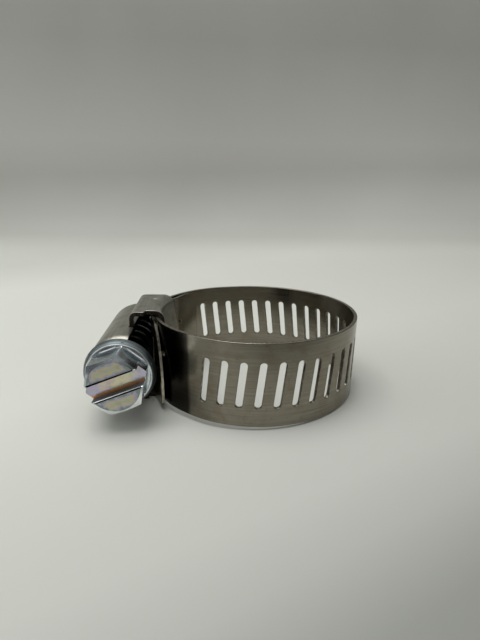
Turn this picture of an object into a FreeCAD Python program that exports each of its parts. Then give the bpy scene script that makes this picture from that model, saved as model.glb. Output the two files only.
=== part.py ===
import FreeCAD, Part
import math
import os

# Worm-drive hose clamp with a half-inch perforated band, in millimetres.
# The origin is the centre of the ring at half its height. +Z is the axis of the hose. The
# housing is on -X, and the screw lies along Y with its head towards -Y.
# Places round the band are azimuths in degrees, counted from +X and running on past 360,
# because the band passes the housing twice: first its fixed end, then its free end.

V = FreeCAD.Vector

# Band
band_width = 12.7
band_thickness = 0.56
ring_inner_radius = 15.63
slot_pitch = 2.711
slot_length = 7.0
slot_width = 1.05
first_slot_azimuth = 239.5      # first slot in front of the housing
tail_plain_length = 3.2         # unperforated tip of the free end

# Seat: the arc inside the housing that both layers of the band lie on
seat_offset = 1.2               # its centre is this far from the ring's, towards the housing
seat_radius = 14.41             # inner face of the ears
ear_sheet = 0.45
seat_clearance = 0.04
layer_gap = 0.04

# Places round the band
tongue_end = 131.6
tongue_spring_start = 153.0
tongue_spring = 0.3             # how far the tongue leans in, off the layer over it
open_joint = 195.0
front_blend = (214.0, 234.0)    # seat arc to ring
back_blend = (458.0, 478.0)     # ring to seat arc
tail_lift_start = 560.0
tail_end = 571.0
tail_lift = 0.45                # how far the tip of the tail stands off the band under it
tongue_corner_radius = 3.0
tail_tip_radius = 11.3
tail_tip_apex = -1.5
locking_hole_radius = 0.45
locking_hole_azimuths = (149.9, 208.0)
locking_hole_height = 1.6

# The band bends at the webs nearest to evenly spaced places from the back round to the front
bend_count = 8
first_bend = 469.0
last_bend = 234.6
bend_gap = 0.06
open_gap = 0.16

# Screw
thread_radius = 3.8
thread_depth = 0.65
thread_crest = 0.50
thread_root = 0.86
crest_clearance = 0.06          # worm crest to the fixed layer under the slots
thread_start = -8.7
thread_end = 6.9
tip_radius = 2.7
tip_end = 7.7
neck_radius = 2.9
hex_across_flats = 7.94
hex_turn = 21.0
head_face = -15.9
head_chamfer_radius = 3.65
head_chamfer_height = 0.55
drive_slot_width = 2.4
drive_slot_depth = 1.6
drive_slot_turn = 20.5
collar_radius = 5.3
collar_front = -12.3
collar_rim = 0.5
collar_dish = 0.8
collar_cylinder = 1.25
collar_back_radius = 4.6

# Housing
sheet = 0.7
worm_clearance = 0.6            # worm crest to the inside of the tunnel
tunnel_front = -10.2
tunnel_back = 9.6
tunnel_end_bend = 2.2
tunnel_end_hole = 1.2
tunnel_cover = 104.0            # half of the angle that the tunnel goes round the worm
collar_bearing_clearance = 0.08
neck_clearance = 0.10
strap_front = -5.2
strap_back = 5.6
strap_notch = (-17.15, 0.9)     # front edge steps back by the second value past the first
strap_edge_clearance = 0.35     # band edge to the inside of the fold
riser_gap = 0.56                # outer face of the riser, in from the screw axis
fold_radius = 0.8
shoulder_radius = 1.1
ear_flare = 1.3
ear_seam = 0.30
dimple_place = (-16.85, 2.6)
dimple_radius = 1.2
dimple_depth = 0.22

# Worked-out sizes
half_thickness = band_thickness / 2
ring_mid = ring_inner_radius + half_thickness
fixed_mid = seat_radius + ear_sheet + seat_clearance + half_thickness
free_mid = fixed_mid + band_thickness + layer_gap
screw_x = -(seat_offset + fixed_mid + half_thickness + crest_clearance + thread_radius)
seat_centre = V(-seat_offset, 0, 0)
strap_inner_height = band_width / 2 + strap_edge_clearance
strap_height = strap_inner_height + sheet
riser_x = screw_x + riser_gap
tunnel_inner = thread_radius + worm_clearance
tunnel_radius = tunnel_inner + sheet
root_radius = thread_radius - thread_depth
slot_slant = math.degrees(math.atan(slot_pitch / (2 * math.pi * thread_radius)))
blend_points = 9
walk_step = 0.25


def seat_distance(radius, azimuth):
    """Distance from the ring's centre to an arc about the seat centre."""
    turn = math.radians(azimuth - 180)
    across = seat_offset * math.sin(turn)
    return seat_offset * math.cos(turn) + math.sqrt(radius ** 2 - across ** 2)


def smooth(value, low, high):
    """0 at low, 1 at high, level at both ends."""
    share = min(max((value - low) / (high - low), 0), 1)
    return share * share * (3 - 2 * share)


def mid_radius(azimuth):
    """Distance from the ring's centre to the middle of the band's thickness."""
    if azimuth < front_blend[1]:
        seat = seat_distance(fixed_mid, azimuth)
        if azimuth < tongue_spring_start:
            along = (azimuth - tongue_end) / (tongue_spring_start - tongue_end)
            seat -= tongue_spring * (1 - math.cos(2 * math.pi * along)) / 2
        share = smooth(azimuth, *front_blend)
        return seat + share * (ring_mid - seat)
    if azimuth > back_blend[0]:
        seat = seat_distance(free_mid, azimuth)
        if azimuth > tail_lift_start:
            along = (azimuth - tail_lift_start) / (tail_end - tail_lift_start)
            seat += tail_lift * along ** 2
        share = smooth(azimuth, *back_blend)
        return ring_mid + share * (seat - ring_mid)
    return ring_mid


def mid_point(azimuth):
    angle = math.radians(azimuth)
    radius = mid_radius(azimuth)
    return V(radius * math.cos(angle), radius * math.sin(angle), 0)


def outward(azimuth):
    """Unit vector square to the band, away from the hose."""
    ahead = mid_point(azimuth + 0.01)
    along = ahead.sub(mid_point(azimuth - 0.01)).normalize()
    return V(along.y, -along.x, 0)


def offset_point(azimuth, side):
    return mid_point(azimuth).add(outward(azimuth).multiply(side * half_thickness))


def azimuth_after(start, length):
    """Azimuth that lies a length of band past a start, which may be negative."""
    step = math.copysign(walk_step, length)
    azimuth = start
    left = abs(length)
    while True:
        stride = mid_point(azimuth + step).sub(mid_point(azimuth)).Length
        if stride >= left:
            return azimuth + step * left / stride
        azimuth += step
        left -= stride


def slot_azimuth(count):
    return azimuth_after(first_slot_azimuth, count * slot_pitch)


def bend_azimuths():
    """Middles of the webs that the band bends at, the one nearest to the free end first."""
    webs = []
    count = -2.5
    while slot_azimuth(count) < back_blend[1]:
        webs.append(slot_azimuth(count))
        count += 1
    spacing = (first_bend - last_bend) / (bend_count - 1)
    places = [first_bend - index * spacing for index in range(bend_count)]
    return [min(webs, key=lambda web: abs(web - place)) for place in places]


def angle_of(length, azimuth):
    return math.degrees(length / mid_radius(azimuth))


def is_arc(azimuth):
    """Whether the band is round here, and not blending from one arc to another."""
    on_fixed_seat = tongue_spring_start < azimuth < front_blend[0]
    on_ring = front_blend[1] < azimuth < back_blend[0]
    on_free_seat = back_blend[1] < azimuth < tail_lift_start
    return on_fixed_seat or on_ring or on_free_seat


def face_line(start, end, side):
    """Edges of one face of the band between two azimuths, as arcs and blends."""
    breaks = [tongue_spring_start, *front_blend, *back_blend, tail_lift_start]
    stops = [start] + [b for b in breaks if start < b < end] + [end]
    edges = []
    for low, high in zip(stops, stops[1:]):
        first = offset_point(low, side)
        last = offset_point(high, side)
        middle = (low + high) / 2
        if is_arc(middle):
            edges.append(Part.Arc(first, offset_point(middle, side), last).toShape())
        else:
            run = (high - low) / (blend_points - 1)
            points = [offset_point(low + i * run, side) for i in range(blend_points)]
            curve = Part.BSplineCurve()
            curve.interpolate(points)
            edges.append(curve.toShape())
    return edges


def strip(start, end):
    """Plain stretch of band between two azimuths."""
    inner = face_line(start, end, -1)
    outer = face_line(start, end, 1)
    cap_start = Part.makeLine(offset_point(start, -1), offset_point(start, 1))
    cap_end = Part.makeLine(offset_point(end, -1), offset_point(end, 1))
    wire = Part.Wire(Part.__sortEdges__(inner + [cap_end] + outer + [cap_start]))
    solid = Part.Face(wire).extrude(V(0, 0, band_width))
    solid.translate(V(0, 0, -band_width / 2))
    return solid


def stand_on_band(shape, azimuth):
    """Turn a shape whose +X is outward and +Y along the band, and seat it at an azimuth."""
    normal = outward(azimuth)
    shape.rotate(V(0, 0, 0), V(0, 0, 1), math.degrees(math.atan2(normal.y, normal.x)))
    shape.translate(mid_point(azimuth))
    return shape


def slot_tool(azimuth):
    """Round-ended slot, leaning the way the worm's thread does."""
    depth = 4 * band_thickness
    straight = slot_length - slot_width
    radius = slot_width / 2
    body = Part.makeBox(depth, slot_width, straight, V(-depth / 2, -radius, -straight / 2))
    for end in (-1, 1):
        centre = V(-depth / 2, 0, end * straight / 2)
        body = body.fuse(Part.makeCylinder(radius, depth, centre, V(1, 0, 0)))
    body.rotate(V(0, 0, 0), V(1, 0, 0), -slot_slant)
    return stand_on_band(body.removeSplitter(), azimuth)


def cut_slots(solid, start, end):
    """Cut every slot whose middle lies in a stretch of band."""
    last_slot = azimuth_after(tail_end, -tail_plain_length)
    count = 0
    while slot_azimuth(count) < min(end, last_slot):
        if slot_azimuth(count) > start:
            solid = solid.cut(slot_tool(slot_azimuth(count)))
        count += 1
    return solid


def locking_hole(azimuth):
    depth = 4 * band_thickness
    tool = Part.makeCylinder(locking_hole_radius, depth, V(-depth / 2, 0, 0), V(1, 0, 0))
    tool.translate(V(0, 0, locking_hole_height))
    return stand_on_band(tool, azimuth)


def round_tip(solid):
    """Cut the end of the tail to a shallow arc."""
    depth = 4 * band_thickness
    centre = V(-depth / 2, -tail_tip_radius, tail_tip_apex)
    block = Part.makeBox(depth, band_width, 2 * band_width, V(-depth / 2, -band_width, -band_width))
    disc = Part.makeCylinder(tail_tip_radius, depth, centre, V(1, 0, 0))
    return solid.cut(stand_on_band(block.cut(disc), tail_end))


def round_tongue(solid):
    """Round the two corners of the tongue's end."""
    depth = 4 * band_thickness
    radius = tongue_corner_radius
    for side in (-1, 1):
        corner = V(0, 0, side * band_width / 2)
        block = Part.makeBox(depth, 2 * radius, 2 * radius, V(-depth / 2, -radius, -radius))
        block.translate(corner)
        centre = corner.add(V(-depth / 2, radius, -side * radius))
        block = block.cut(Part.makeCylinder(radius, depth, centre, V(1, 0, 0)))
        beyond = Part.makeBox(depth, 4 * radius, 4 * radius, V(-depth / 2, radius, -2 * radius))
        beyond.translate(corner)
        below = Part.makeBox(depth, 4 * radius, 4 * radius, V(-depth / 2, -2 * radius, -2 * radius))
        below.translate(centre.add(V(depth / 2, 0, -side * 2 * radius)))
        solid = solid.cut(stand_on_band(block.cut(beyond).cut(below), tongue_end))
    return solid


def band_fixed_end():
    """Tongue and the stretch that the ears hold."""
    end = open_joint - angle_of(open_gap / 2, open_joint)
    solid = round_tongue(strip(tongue_end, end))
    return solid.cut(locking_hole(locking_hole_azimuths[0]))


def band_free_end():
    """Tail, the stretch under the worm and the start of the ring."""
    bend = bend_azimuths()[0]
    start = bend + angle_of(bend_gap / 2, bend)
    solid = round_tip(strip(start, tail_end))
    return cut_slots(solid, start, tail_end)


def band_links():
    """Stretches of the ring between its bends, from the back round to the front."""
    joints = bend_azimuths()
    links = []
    for index, joint in enumerate(joints):
        end = joint - angle_of(bend_gap / 2, joint)
        if index + 1 < len(joints):
            start = joints[index + 1] + angle_of(bend_gap / 2, joints[index + 1])
        else:
            start = open_joint + angle_of(open_gap / 2, open_joint)
        solid = cut_slots(strip(start, end), start, end)
        if index + 1 == len(joints):
            solid = solid.cut(locking_hole(locking_hole_azimuths[1]))
        links.append(solid)
    return links


def turned(points):
    """Solid of revolution about the screw axis, from (radius, place along Y) pairs."""
    corners = [V(screw_x - radius, place, 0) for radius, place in points]
    face = Part.Face(Part.makePolygon(corners + corners[:1]))
    return face.revolve(V(screw_x, 0, 0), V(0, 1, 0), 360)


def hex_head():
    """Hexagon with a turned chamfer, its foot inside the collar."""
    corner = hex_across_flats / math.sqrt(3)
    foot = collar_front + collar_cylinder
    points = []
    for index in range(7):
        angle = math.radians(hex_turn + 60 * index)
        points.append(V(screw_x + corner * math.cos(angle), head_face, corner * math.sin(angle)))
    prism = Part.Face(Part.makePolygon(points)).extrude(V(0, foot - head_face, 0))
    envelope = turned([
        (0, head_face),
        (head_chamfer_radius, head_face),
        (corner, head_face + head_chamfer_height),
        (corner, foot),
        (0, foot),
    ])
    return prism.common(envelope)


def drive_slot():
    length = 3 * hex_across_flats
    corner = V(-length / 2, head_face - drive_slot_depth, -drive_slot_width / 2)
    tool = Part.makeBox(length, 2 * drive_slot_depth, drive_slot_width, corner)
    tool.rotate(V(0, 0, 0), V(0, 1, 0), -drive_slot_turn)
    tool.translate(V(screw_x, 0, 0))
    return tool


def worm_thread():
    """Right-hand thread whose crest lies in the slot nearest the middle of the seat."""
    count = 0
    while slot_azimuth(count) < 540 - angle_of(slot_pitch / 2, 540):
        count += 1
    contact = mid_point(slot_azimuth(count)).y
    turns = math.ceil((thread_end - thread_start) / slot_pitch) + 2
    reach = math.ceil((contact - thread_start) / slot_pitch) + 1
    helix = Part.makeHelix(slot_pitch, turns * slot_pitch, root_radius)
    sunk = thread_root / 2 + 0.05
    crest = thread_crest / 2
    profile = Part.makePolygon([
        V(root_radius - 0.08, 0, -sunk),
        V(thread_radius, 0, -crest),
        V(thread_radius, 0, crest),
        V(root_radius - 0.08, 0, sunk),
        V(root_radius - 0.08, 0, -sunk),
    ])
    thread = Part.Wire(helix.Edges).makePipeShell([profile], True, True)
    # The helix climbs +Z and starts on +X. Laid along +Y it starts on +X still.
    thread.rotate(V(0, 0, 0), V(1, 0, 0), -90)
    thread.translate(V(screw_x, contact - reach * slot_pitch, 0))
    keep = turned([
        (0, thread_start),
        (root_radius, thread_start),
        (thread_radius + 0.1, thread_start + thread_depth),
        (thread_radius + 0.1, thread_end - thread_depth),
        (root_radius, thread_end),
        (0, thread_end),
    ])
    return thread.common(keep)


def worm_screw():
    collar_back = tunnel_front - collar_bearing_clearance
    dish = collar_front + collar_dish
    shaft = turned([
        (0, dish),
        (collar_radius - collar_rim - collar_dish / 2, dish),
        (collar_radius - collar_rim, collar_front),
        (collar_radius, collar_front),
        (collar_radius, collar_front + collar_cylinder),
        (collar_back_radius, collar_back),
        (neck_radius, collar_back),
        (neck_radius, thread_start),
        (root_radius, thread_start),
        (root_radius, thread_end),
        (tip_radius, thread_end),
        (tip_radius, tip_end),
        (0, tip_end),
    ])
    return shaft.fuse([hex_head(), worm_thread()]).cut(drive_slot())


def tunnel():
    """Arch over the worm, with a lip in the screw's neck and a domed back end."""
    lip = neck_radius + neck_clearance
    bend_place = tunnel_back - tunnel_end_bend
    outer_low = tunnel_radius - tunnel_end_bend
    inner_bend = tunnel_end_bend - sheet
    slant = math.sqrt(0.5)

    def at(radius, place):
        return V(screw_x - radius, place, 0)

    dome_outer = Part.Arc(
        at(tunnel_radius, bend_place),
        at(outer_low + tunnel_end_bend * slant, bend_place + tunnel_end_bend * slant),
        at(outer_low, tunnel_back),
    )
    dome_inner = Part.Arc(
        at(outer_low, tunnel_back - sheet),
        at(outer_low + inner_bend * slant, bend_place + inner_bend * slant),
        at(tunnel_inner, bend_place),
    )
    edges = [
        Part.makeLine(at(lip, tunnel_front), at(tunnel_radius, tunnel_front)),
        Part.makeLine(at(tunnel_radius, tunnel_front), at(tunnel_radius, bend_place)),
        dome_outer.toShape(),
        Part.makeLine(at(outer_low, tunnel_back), at(tunnel_end_hole, tunnel_back)),
        Part.makeLine(at(tunnel_end_hole, tunnel_back), at(tunnel_end_hole, tunnel_back - sheet)),
        Part.makeLine(at(tunnel_end_hole, tunnel_back - sheet), at(outer_low, tunnel_back - sheet)),
        dome_inner.toShape(),
        Part.makeLine(at(tunnel_inner, bend_place), at(tunnel_inner, tunnel_front + sheet)),
        Part.makeLine(at(tunnel_inner, tunnel_front + sheet), at(lip, tunnel_front + sheet)),
        Part.makeLine(at(lip, tunnel_front + sheet), at(lip, tunnel_front)),
    ]
    face = Part.Face(Part.Wire(edges))
    face.rotate(V(screw_x, 0, 0), V(0, 1, 0), -tunnel_cover)
    return face.revolve(V(screw_x, 0, 0), V(0, 1, 0), 2 * tunnel_cover)


def upright(radius, height):
    """Cylinder about the seat centre, from -height to height."""
    return Part.makeCylinder(radius, 2 * height, seat_centre.sub(V(0, 0, height)))


def box(low, high):
    return Part.makeBox(high[0] - low[0], high[1] - low[1], high[2] - low[2], V(*low))


def strap():
    """Ears: risers beside the tunnel, plates over both band edges and folds inside the ring."""
    inside = -seat_offset
    outside = box((riser_x, strap_front, -strap_height), (inside, strap_back, strap_height))
    hollow = box(
        (riser_x + sheet, strap_front - sheet, -strap_inner_height),
        (inside, strap_back + sheet, strap_inner_height),
    )
    hollow = hollow.cut(upright(seat_radius + ear_sheet, strap_height))
    shell = outside.cut(upright(seat_radius, 2 * strap_height))
    folds = []
    for edge in shell.Edges:
        on_plate = abs(abs(edge.CenterOfMass.z) - strap_height) < 1e-6
        if on_plate and isinstance(edge.Curve, Part.Circle):
            folds.append(edge)
    shell = shell.makeFillet(fold_radius, folds)
    shoulders = []
    for edge in shell.Edges:
        middle = edge.CenterOfMass
        if abs(abs(middle.z) - strap_height) < 1e-6 and abs(middle.x - riser_x) < 1e-6:
            shoulders.append(edge)
    shell = shell.makeFillet(shoulder_radius, shoulders).cut(hollow)
    notch_x, notch_depth = strap_notch
    notch = box(
        (notch_x, strap_front - sheet, -2 * strap_height),
        (inside, strap_front + notch_depth, 2 * strap_height),
    )
    shell = shell.cut(notch)
    bore = Part.makeCylinder(
        tunnel_inner, 4 * tunnel_back, V(screw_x, -2 * tunnel_back, 0), V(0, 1, 0)
    )
    return shell.cut(bore)


def ear_flaps():
    """Inner parts of the ears, which widen towards the seam between them."""
    sheet_ring = upright(seat_radius + ear_sheet, strap_height)
    sheet_ring = sheet_ring.cut(upright(seat_radius, 2 * strap_height))
    front = strap_front + strap_notch[1]
    outline = [
        V(0, front, strap_inner_height),
        V(0, strap_back, strap_inner_height),
        V(0, strap_back + ear_flare, 0),
        V(0, strap_back, -strap_inner_height),
        V(0, front, -strap_inner_height),
        V(0, front - ear_flare, 0),
        V(0, front, strap_inner_height),
    ]
    prism = Part.Face(Part.makePolygon(outline)).extrude(V(-2 * seat_radius, 0, 0))
    return sheet_ring.common(prism)


def housing():
    body = tunnel().fuse([strap(), ear_flaps()])
    seam = box(
        (-seat_offset - seat_radius - ear_sheet - seat_clearance / 2, -tunnel_back, -ear_seam / 2),
        (-seat_offset, tunnel_back, ear_seam / 2),
    )
    dent_centre = V(*dimple_place, strap_height + dimple_radius - dimple_depth)
    dent = Part.makeSphere(dimple_radius, dent_centre)
    return body.cut(seam).cut(dent).removeSplitter()


os.makedirs("parts", exist_ok=True)
housing().exportStep("parts/housing.step")
worm_screw().exportStep("parts/worm_screw.step")
band_fixed_end().exportStep("parts/band_fixed_end.step")
band_free_end().exportStep("parts/band_free_end.step")
for number, link in enumerate(band_links(), 1):
    link.exportStep(f"parts/band_link_{number}.step")
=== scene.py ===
import bisect
import math

import bmesh
import bpy
from mathutils import Matrix, Vector


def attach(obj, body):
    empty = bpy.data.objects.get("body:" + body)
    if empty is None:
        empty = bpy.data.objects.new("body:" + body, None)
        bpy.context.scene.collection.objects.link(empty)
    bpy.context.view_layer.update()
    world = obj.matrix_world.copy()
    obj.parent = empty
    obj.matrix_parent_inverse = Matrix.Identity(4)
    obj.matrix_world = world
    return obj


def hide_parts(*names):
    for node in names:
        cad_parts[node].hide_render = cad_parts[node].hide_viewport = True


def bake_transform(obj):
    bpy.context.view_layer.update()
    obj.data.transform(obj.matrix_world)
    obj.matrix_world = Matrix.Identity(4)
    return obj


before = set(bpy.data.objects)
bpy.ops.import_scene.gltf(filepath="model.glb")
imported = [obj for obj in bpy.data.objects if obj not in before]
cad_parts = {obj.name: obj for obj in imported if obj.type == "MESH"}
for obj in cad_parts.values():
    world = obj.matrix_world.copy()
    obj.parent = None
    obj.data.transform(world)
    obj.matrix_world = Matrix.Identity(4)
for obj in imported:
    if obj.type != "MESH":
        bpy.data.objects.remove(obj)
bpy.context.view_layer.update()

MM = 0.001

# ---------------------------------------------------------------- sizes, in millimetres
# Band: one strip of cold-rolled stainless, punched with leaning slots.
BAND_WIDTH = 12.7
BAND_THICKNESS = 0.56
BAND_EDGE_ROUND = 0.09
RING_INNER_RADIUS = 15.63
SLOT_PITCH = 2.711
SLOT_LENGTH = 7.0
SLOT_WIDTH = 1.05
FIRST_SLOT_AZIMUTH = 239.5
TAIL_PLAIN_LENGTH = 3.2
SEAT_OFFSET = 1.2
SEAT_RADIUS = 14.41
EAR_SHEET = 0.45
TONGUE_END = 131.6
TONGUE_SPRING_START = 160.0
TONGUE_SPRING_PEAK = 152.0
TONGUE_SPRING = 0.75
TONGUE_CORNER = 3.0
OPEN_JOINT = 195.0
OPEN_GAP = 0.16
FRONT_BLEND = (214.0, 234.0)
OVAL = 0.45
BACK_BLEND = (458.0, 478.0)
TAIL_LIFT_START = 560.0
TAIL_END = 571.0
TAIL_LIFT = 0.45
TAIL_TIP_RADIUS = 15.8
TAIL_TIP_APEX = -4.0
TAIL_TIP_REACH = 0.4
LOCKING_HOLE_RADIUS = 0.45
LOCKING_HOLE_HEIGHT = 1.6
LOCKING_HOLES = (149.9, 208.0)
# Half the square of mesh that a locking hole is cut in, and the band of faces round any hole.
HOLE_SQUARE = 0.85
HOLE_MARGIN = 0.16
# The face at the strip's very end, drawn with a painted highlight, lies past the first, and within the
# second of mid-width.
TAIL_CUT_Y = -8.0
TAIL_CUT_HALF_WIDTH = 6.2

# Worm screw. The ridge's crest lies in the slot nearest to the middle of the seat, at
# THREAD_CONTACT along the screw, and its foot is sunk into the core.
THREAD_RADIUS = 3.8
THREAD_CREST = 0.50
THREAD_FOOT = 0.80
THREAD_SUNK = 0.12
THREAD_CONTACT = 0.3896
THREAD_RUN = 0.07
ROOT_RADIUS = 3.15
THREAD_START = -8.7
THREAD_END = 6.9
TIP_RADIUS = 2.7
TIP_END = 7.7
NECK_RADIUS = 2.9
HEX_FLATS = 7.94
HEX_TURN = 21.0
HEX_CORNER = 0.22
HEAD_FACE = -15.9
CHAMFER_RADIUS = 3.65
CHAMFER_HEIGHT = 0.55
DRIVE_WIDTH = 2.4
DRIVE_DEPTH = 1.6
DRIVE_TURN = 20.5
FACE_SOFTNESS = 0.28
COLLAR_RADIUS = 5.3
COLLAR_FRONT = -12.3
COLLAR_RIM = 0.62
COLLAR_DISH = 0.34
COLLAR_CYLINDER = 1.25
COLLAR_BACK_RADIUS = 4.6
FOOT_FILLET = 0.55

# Housing: one stamped sheet. The two covers are how far round the tunnel's rim reaches, in
# front of the ears and behind them.
SHEET = 0.7
SHEET_EDGE_ROUND = 0.12
TUNNEL_RADIUS = 5.1
TUNNEL_ROUND = 1.4
TUNNEL_FRONT = -10.2
TUNNEL_BACK = 9.6
TUNNEL_BEND = 2.2
TUNNEL_HOLE = 1.2
TUNNEL_COVER = (104.0, 128.0)
LIP_RADIUS = 3.0
STRAP_FRONT = -5.2
STRAP_BACK = 5.6
NOTCH_DEPTH = 0.9
STRAP_HEIGHT = 7.4
FOLD_RADIUS = 1.5
EAR_INNER_RADIUS = 14.06
SHOULDER_RADIUS = 1.1
CREASE_RADIUS = 0.35
EAR_FLARE = 1.3
EAR_SEAM = 0.30
DIMPLE = (-16.85, 2.6)
DIMPLE_SPAN = (1.7, 3.5)
DIMPLE_RADIUS = 0.8
DIMPLE_DEPTH = 0.22

HALF = BAND_THICKNESS / 2
RING_MID = RING_INNER_RADIUS + HALF
FIXED_MID = SEAT_RADIUS + EAR_SHEET + 0.04 + HALF
FREE_MID = FIXED_MID + BAND_THICKNESS + 0.04
SCREW_X = -(SEAT_OFFSET + FIXED_MID + HALF + 0.06 + THREAD_RADIUS)
RISER_X = SCREW_X + 0.56
SLOT_SLANT = math.atan(SLOT_PITCH / (2 * math.pi * THREAD_RADIUS))
PATH_STEP = 0.25


# ---------------------------------------------------------------- nodes
def linear(code):
    """A colour written in sRGB hex, as the linear values that a shader takes."""
    channels = [int(code[i:i + 2], 16) / 255 for i in (1, 3, 5)]
    return [c / 12.92 if c <= 0.04045 else ((c + 0.055) / 1.055) ** 2.4 for c in channels] + [1.0]


def node(tree, kind, links=None, stops=(), **settings):
    """Adds a node with its settings and, on a ramp, its (place, hex colour or grey) stops. Each
    input in links is joined to an output, or to a node's first output, or filled with a value."""
    made = tree.nodes.new(kind)
    for name, value in settings.items():
        setattr(made, name, value)
    for name, value in (links or {}).items():
        if isinstance(value, bpy.types.Node):
            value = next(socket for socket in value.outputs if socket.enabled)
        if isinstance(value, bpy.types.NodeSocket):
            tree.links.new(value, made.inputs[name])
        elif isinstance(value, str) and value.startswith("#"):
            made.inputs[name].default_value = linear(value)
        else:
            made.inputs[name].default_value = value
    if stops:
        elements = made.color_ramp.elements
        while len(elements) < len(stops):
            elements.new(1.0)
        for element, (place, value) in zip(elements, stops):
            element.position = place
            element.color = linear(value) if isinstance(value, str) else (value, value, value, 1)
    return made


def new_material(name):
    material = bpy.data.materials.new(name)
    material.use_nodes = True
    material.node_tree.nodes.clear()
    return material, material.node_tree


# How much painted shade darkens the strip near the housing, against its length from the tongue's end
# in units of the span set on the next line, in millimetres.
PAINTED_SHADE_SPAN = 60
PAINTED_SHADE_RAMP = [(0.0, 0.0), (0.10, 0.0), (0.14, 0.9), (0.40, 1.0), (0.462, 0.95), (0.472, 0.35),
            (0.52, 0.28), (0.56, 0.0)]


def cold_rolled_strip():
    """Cold-rolled stainless strip: the rolls leave fine lines along it and a satin shine.
    Handling and pressing oil leave it warm and faintly mottled brown. The lines are finer than
    0.05 mm, and are drawn 0.3 mm wide so that they show."""
    material, tree = new_material("cold_rolled_stainless_strip")
    along = node(tree, "ShaderNodeUVMap", uv_map="UVMap")
    place = node(tree, "ShaderNodeTexCoord").outputs["Object"]
    drawn = node(tree, "ShaderNodeMapping", {"Vector": along, "Scale": (0.03, 1, 1)})
    lines = node(tree, "ShaderNodeTexNoise", {
        "Vector": drawn, "Scale": 1 / (0.30 * MM), "Detail": 4, "Roughness": 0.65})
    patches = node(tree, "ShaderNodeTexNoise", {
        "Vector": place, "Scale": 1 / (3.4 * MM), "Detail": 5, "Roughness": 0.62, "Distortion": 0.6})
    specks = node(tree, "ShaderNodeTexNoise", {
        "Vector": place, "Scale": 1 / (0.55 * MM), "Detail": 3, "Roughness": 0.7})
    rolled = node(tree, "ShaderNodeValToRGB", {"Fac": lines}, [(0.30, 0.0), (0.70, 1.0)])
    clean = node(tree, "ShaderNodeMix", {0: rolled, 6: "#7c776b", 7: "#958f83"}, data_type="RGBA")
    stain = node(tree, "ShaderNodeValToRGB", {"Fac": patches}, [(0.46, 0.0), (0.70, 0.55)])
    stained = node(tree, "ShaderNodeMix", {0: stain, 6: clean, 7: "#72654f"}, data_type="RGBA")
    spot = node(tree, "ShaderNodeValToRGB", {"Fac": specks}, [(0.62, 0.0), (0.74, 0.5)])
    spotted = node(tree, "ShaderNodeMix", {0: spot, 6: stained, 7: "#5c5040"}, data_type="RGBA")
    # painted shade: the strip is drawn darker where it runs in and out of the housing, for the shade
    # and dark reflections there
    run = node(tree, "ShaderNodeSeparateXYZ", {0: along}).outputs["X"]
    ragged = node(tree, "ShaderNodeMath", {0: patches, 1: 0.5 * MM}, operation="MULTIPLY")
    border = node(tree, "ShaderNodeMath", {0: run, 1: ragged}, operation="ADD")
    reach = node(tree, "ShaderNodeMath", {0: border, 1: 1 / (PAINTED_SHADE_SPAN * MM)}, operation="MULTIPLY")
    # the mask of the painted shade along the strip
    painted_shade_film = node(tree, "ShaderNodeValToRGB", {"Fac": reach}, PAINTED_SHADE_RAMP)
    darkened_by_shade = node(tree, "ShaderNodeMix", {0: 1.0, 6: spotted, 7: "#48443d"},
                data_type="RGBA", blend_type="MULTIPLY")
    spotted_and_shaded = node(tree, "ShaderNodeMix", {0: painted_shade_film, 6: spotted, 7: darkened_by_shade}, data_type="RGBA")
    dull = node(tree, "ShaderNodeMath", {0: patches, 1: 0.16, 2: 0.10}, operation="MULTIPLY_ADD")
    drag = node(tree, "ShaderNodeMath", {0: lines, 1: 0.08}, operation="MULTIPLY")
    rough = node(tree, "ShaderNodeMath", {0: dull, 1: drag}, operation="ADD")
    waves = node(tree, "ShaderNodeTexNoise", {"Vector": place, "Scale": 1 / (5.0 * MM), "Detail": 1})
    ripple = node(tree, "ShaderNodeBump", {"Strength": 0.5, "Distance": 0.10 * MM, "Height": waves})
    grain = node(tree, "ShaderNodeBump", {
        "Strength": 0.35, "Distance": 0.012 * MM, "Height": lines, "Normal": ripple})
    shader = node(tree, "ShaderNodeBsdfPrincipled", {
        "Metallic": 1.0, "Base Color": spotted_and_shaded, "Roughness": rough, "Normal": grain})
    node(tree, "ShaderNodeOutputMaterial", {"Surface": shader})
    return material


def sheared_steel(name, torn, cut, bright):
    """Edge of sheared or punched stainless: half bright cut, half torn and dark, unpolished."""
    material, tree = new_material(name)
    place = node(tree, "ShaderNodeTexCoord").outputs["Object"]
    upright = node(tree, "ShaderNodeMapping", {"Vector": place, "Scale": (1, 1, 0.4)})
    tears = node(tree, "ShaderNodeTexNoise", {
        "Vector": upright, "Scale": 1 / (0.35 * MM), "Detail": 4, "Roughness": 0.7})
    colour = node(tree, "ShaderNodeValToRGB", {"Fac": tears}, [
        (0.35, torn), (0.6, cut), (0.75, bright)])
    rough = node(tree, "ShaderNodeValToRGB", {"Fac": tears}, [(0.3, 0.52), (0.75, 0.26)])
    bump = node(tree, "ShaderNodeBump", {"Strength": 0.6, "Distance": 0.03 * MM, "Height": tears})
    shader = node(tree, "ShaderNodeBsdfPrincipled", {
        "Metallic": 1.0, "Base Color": colour, "Roughness": rough, "Normal": bump})
    node(tree, "ShaderNodeOutputMaterial", {"Surface": shader})
    return material


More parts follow.
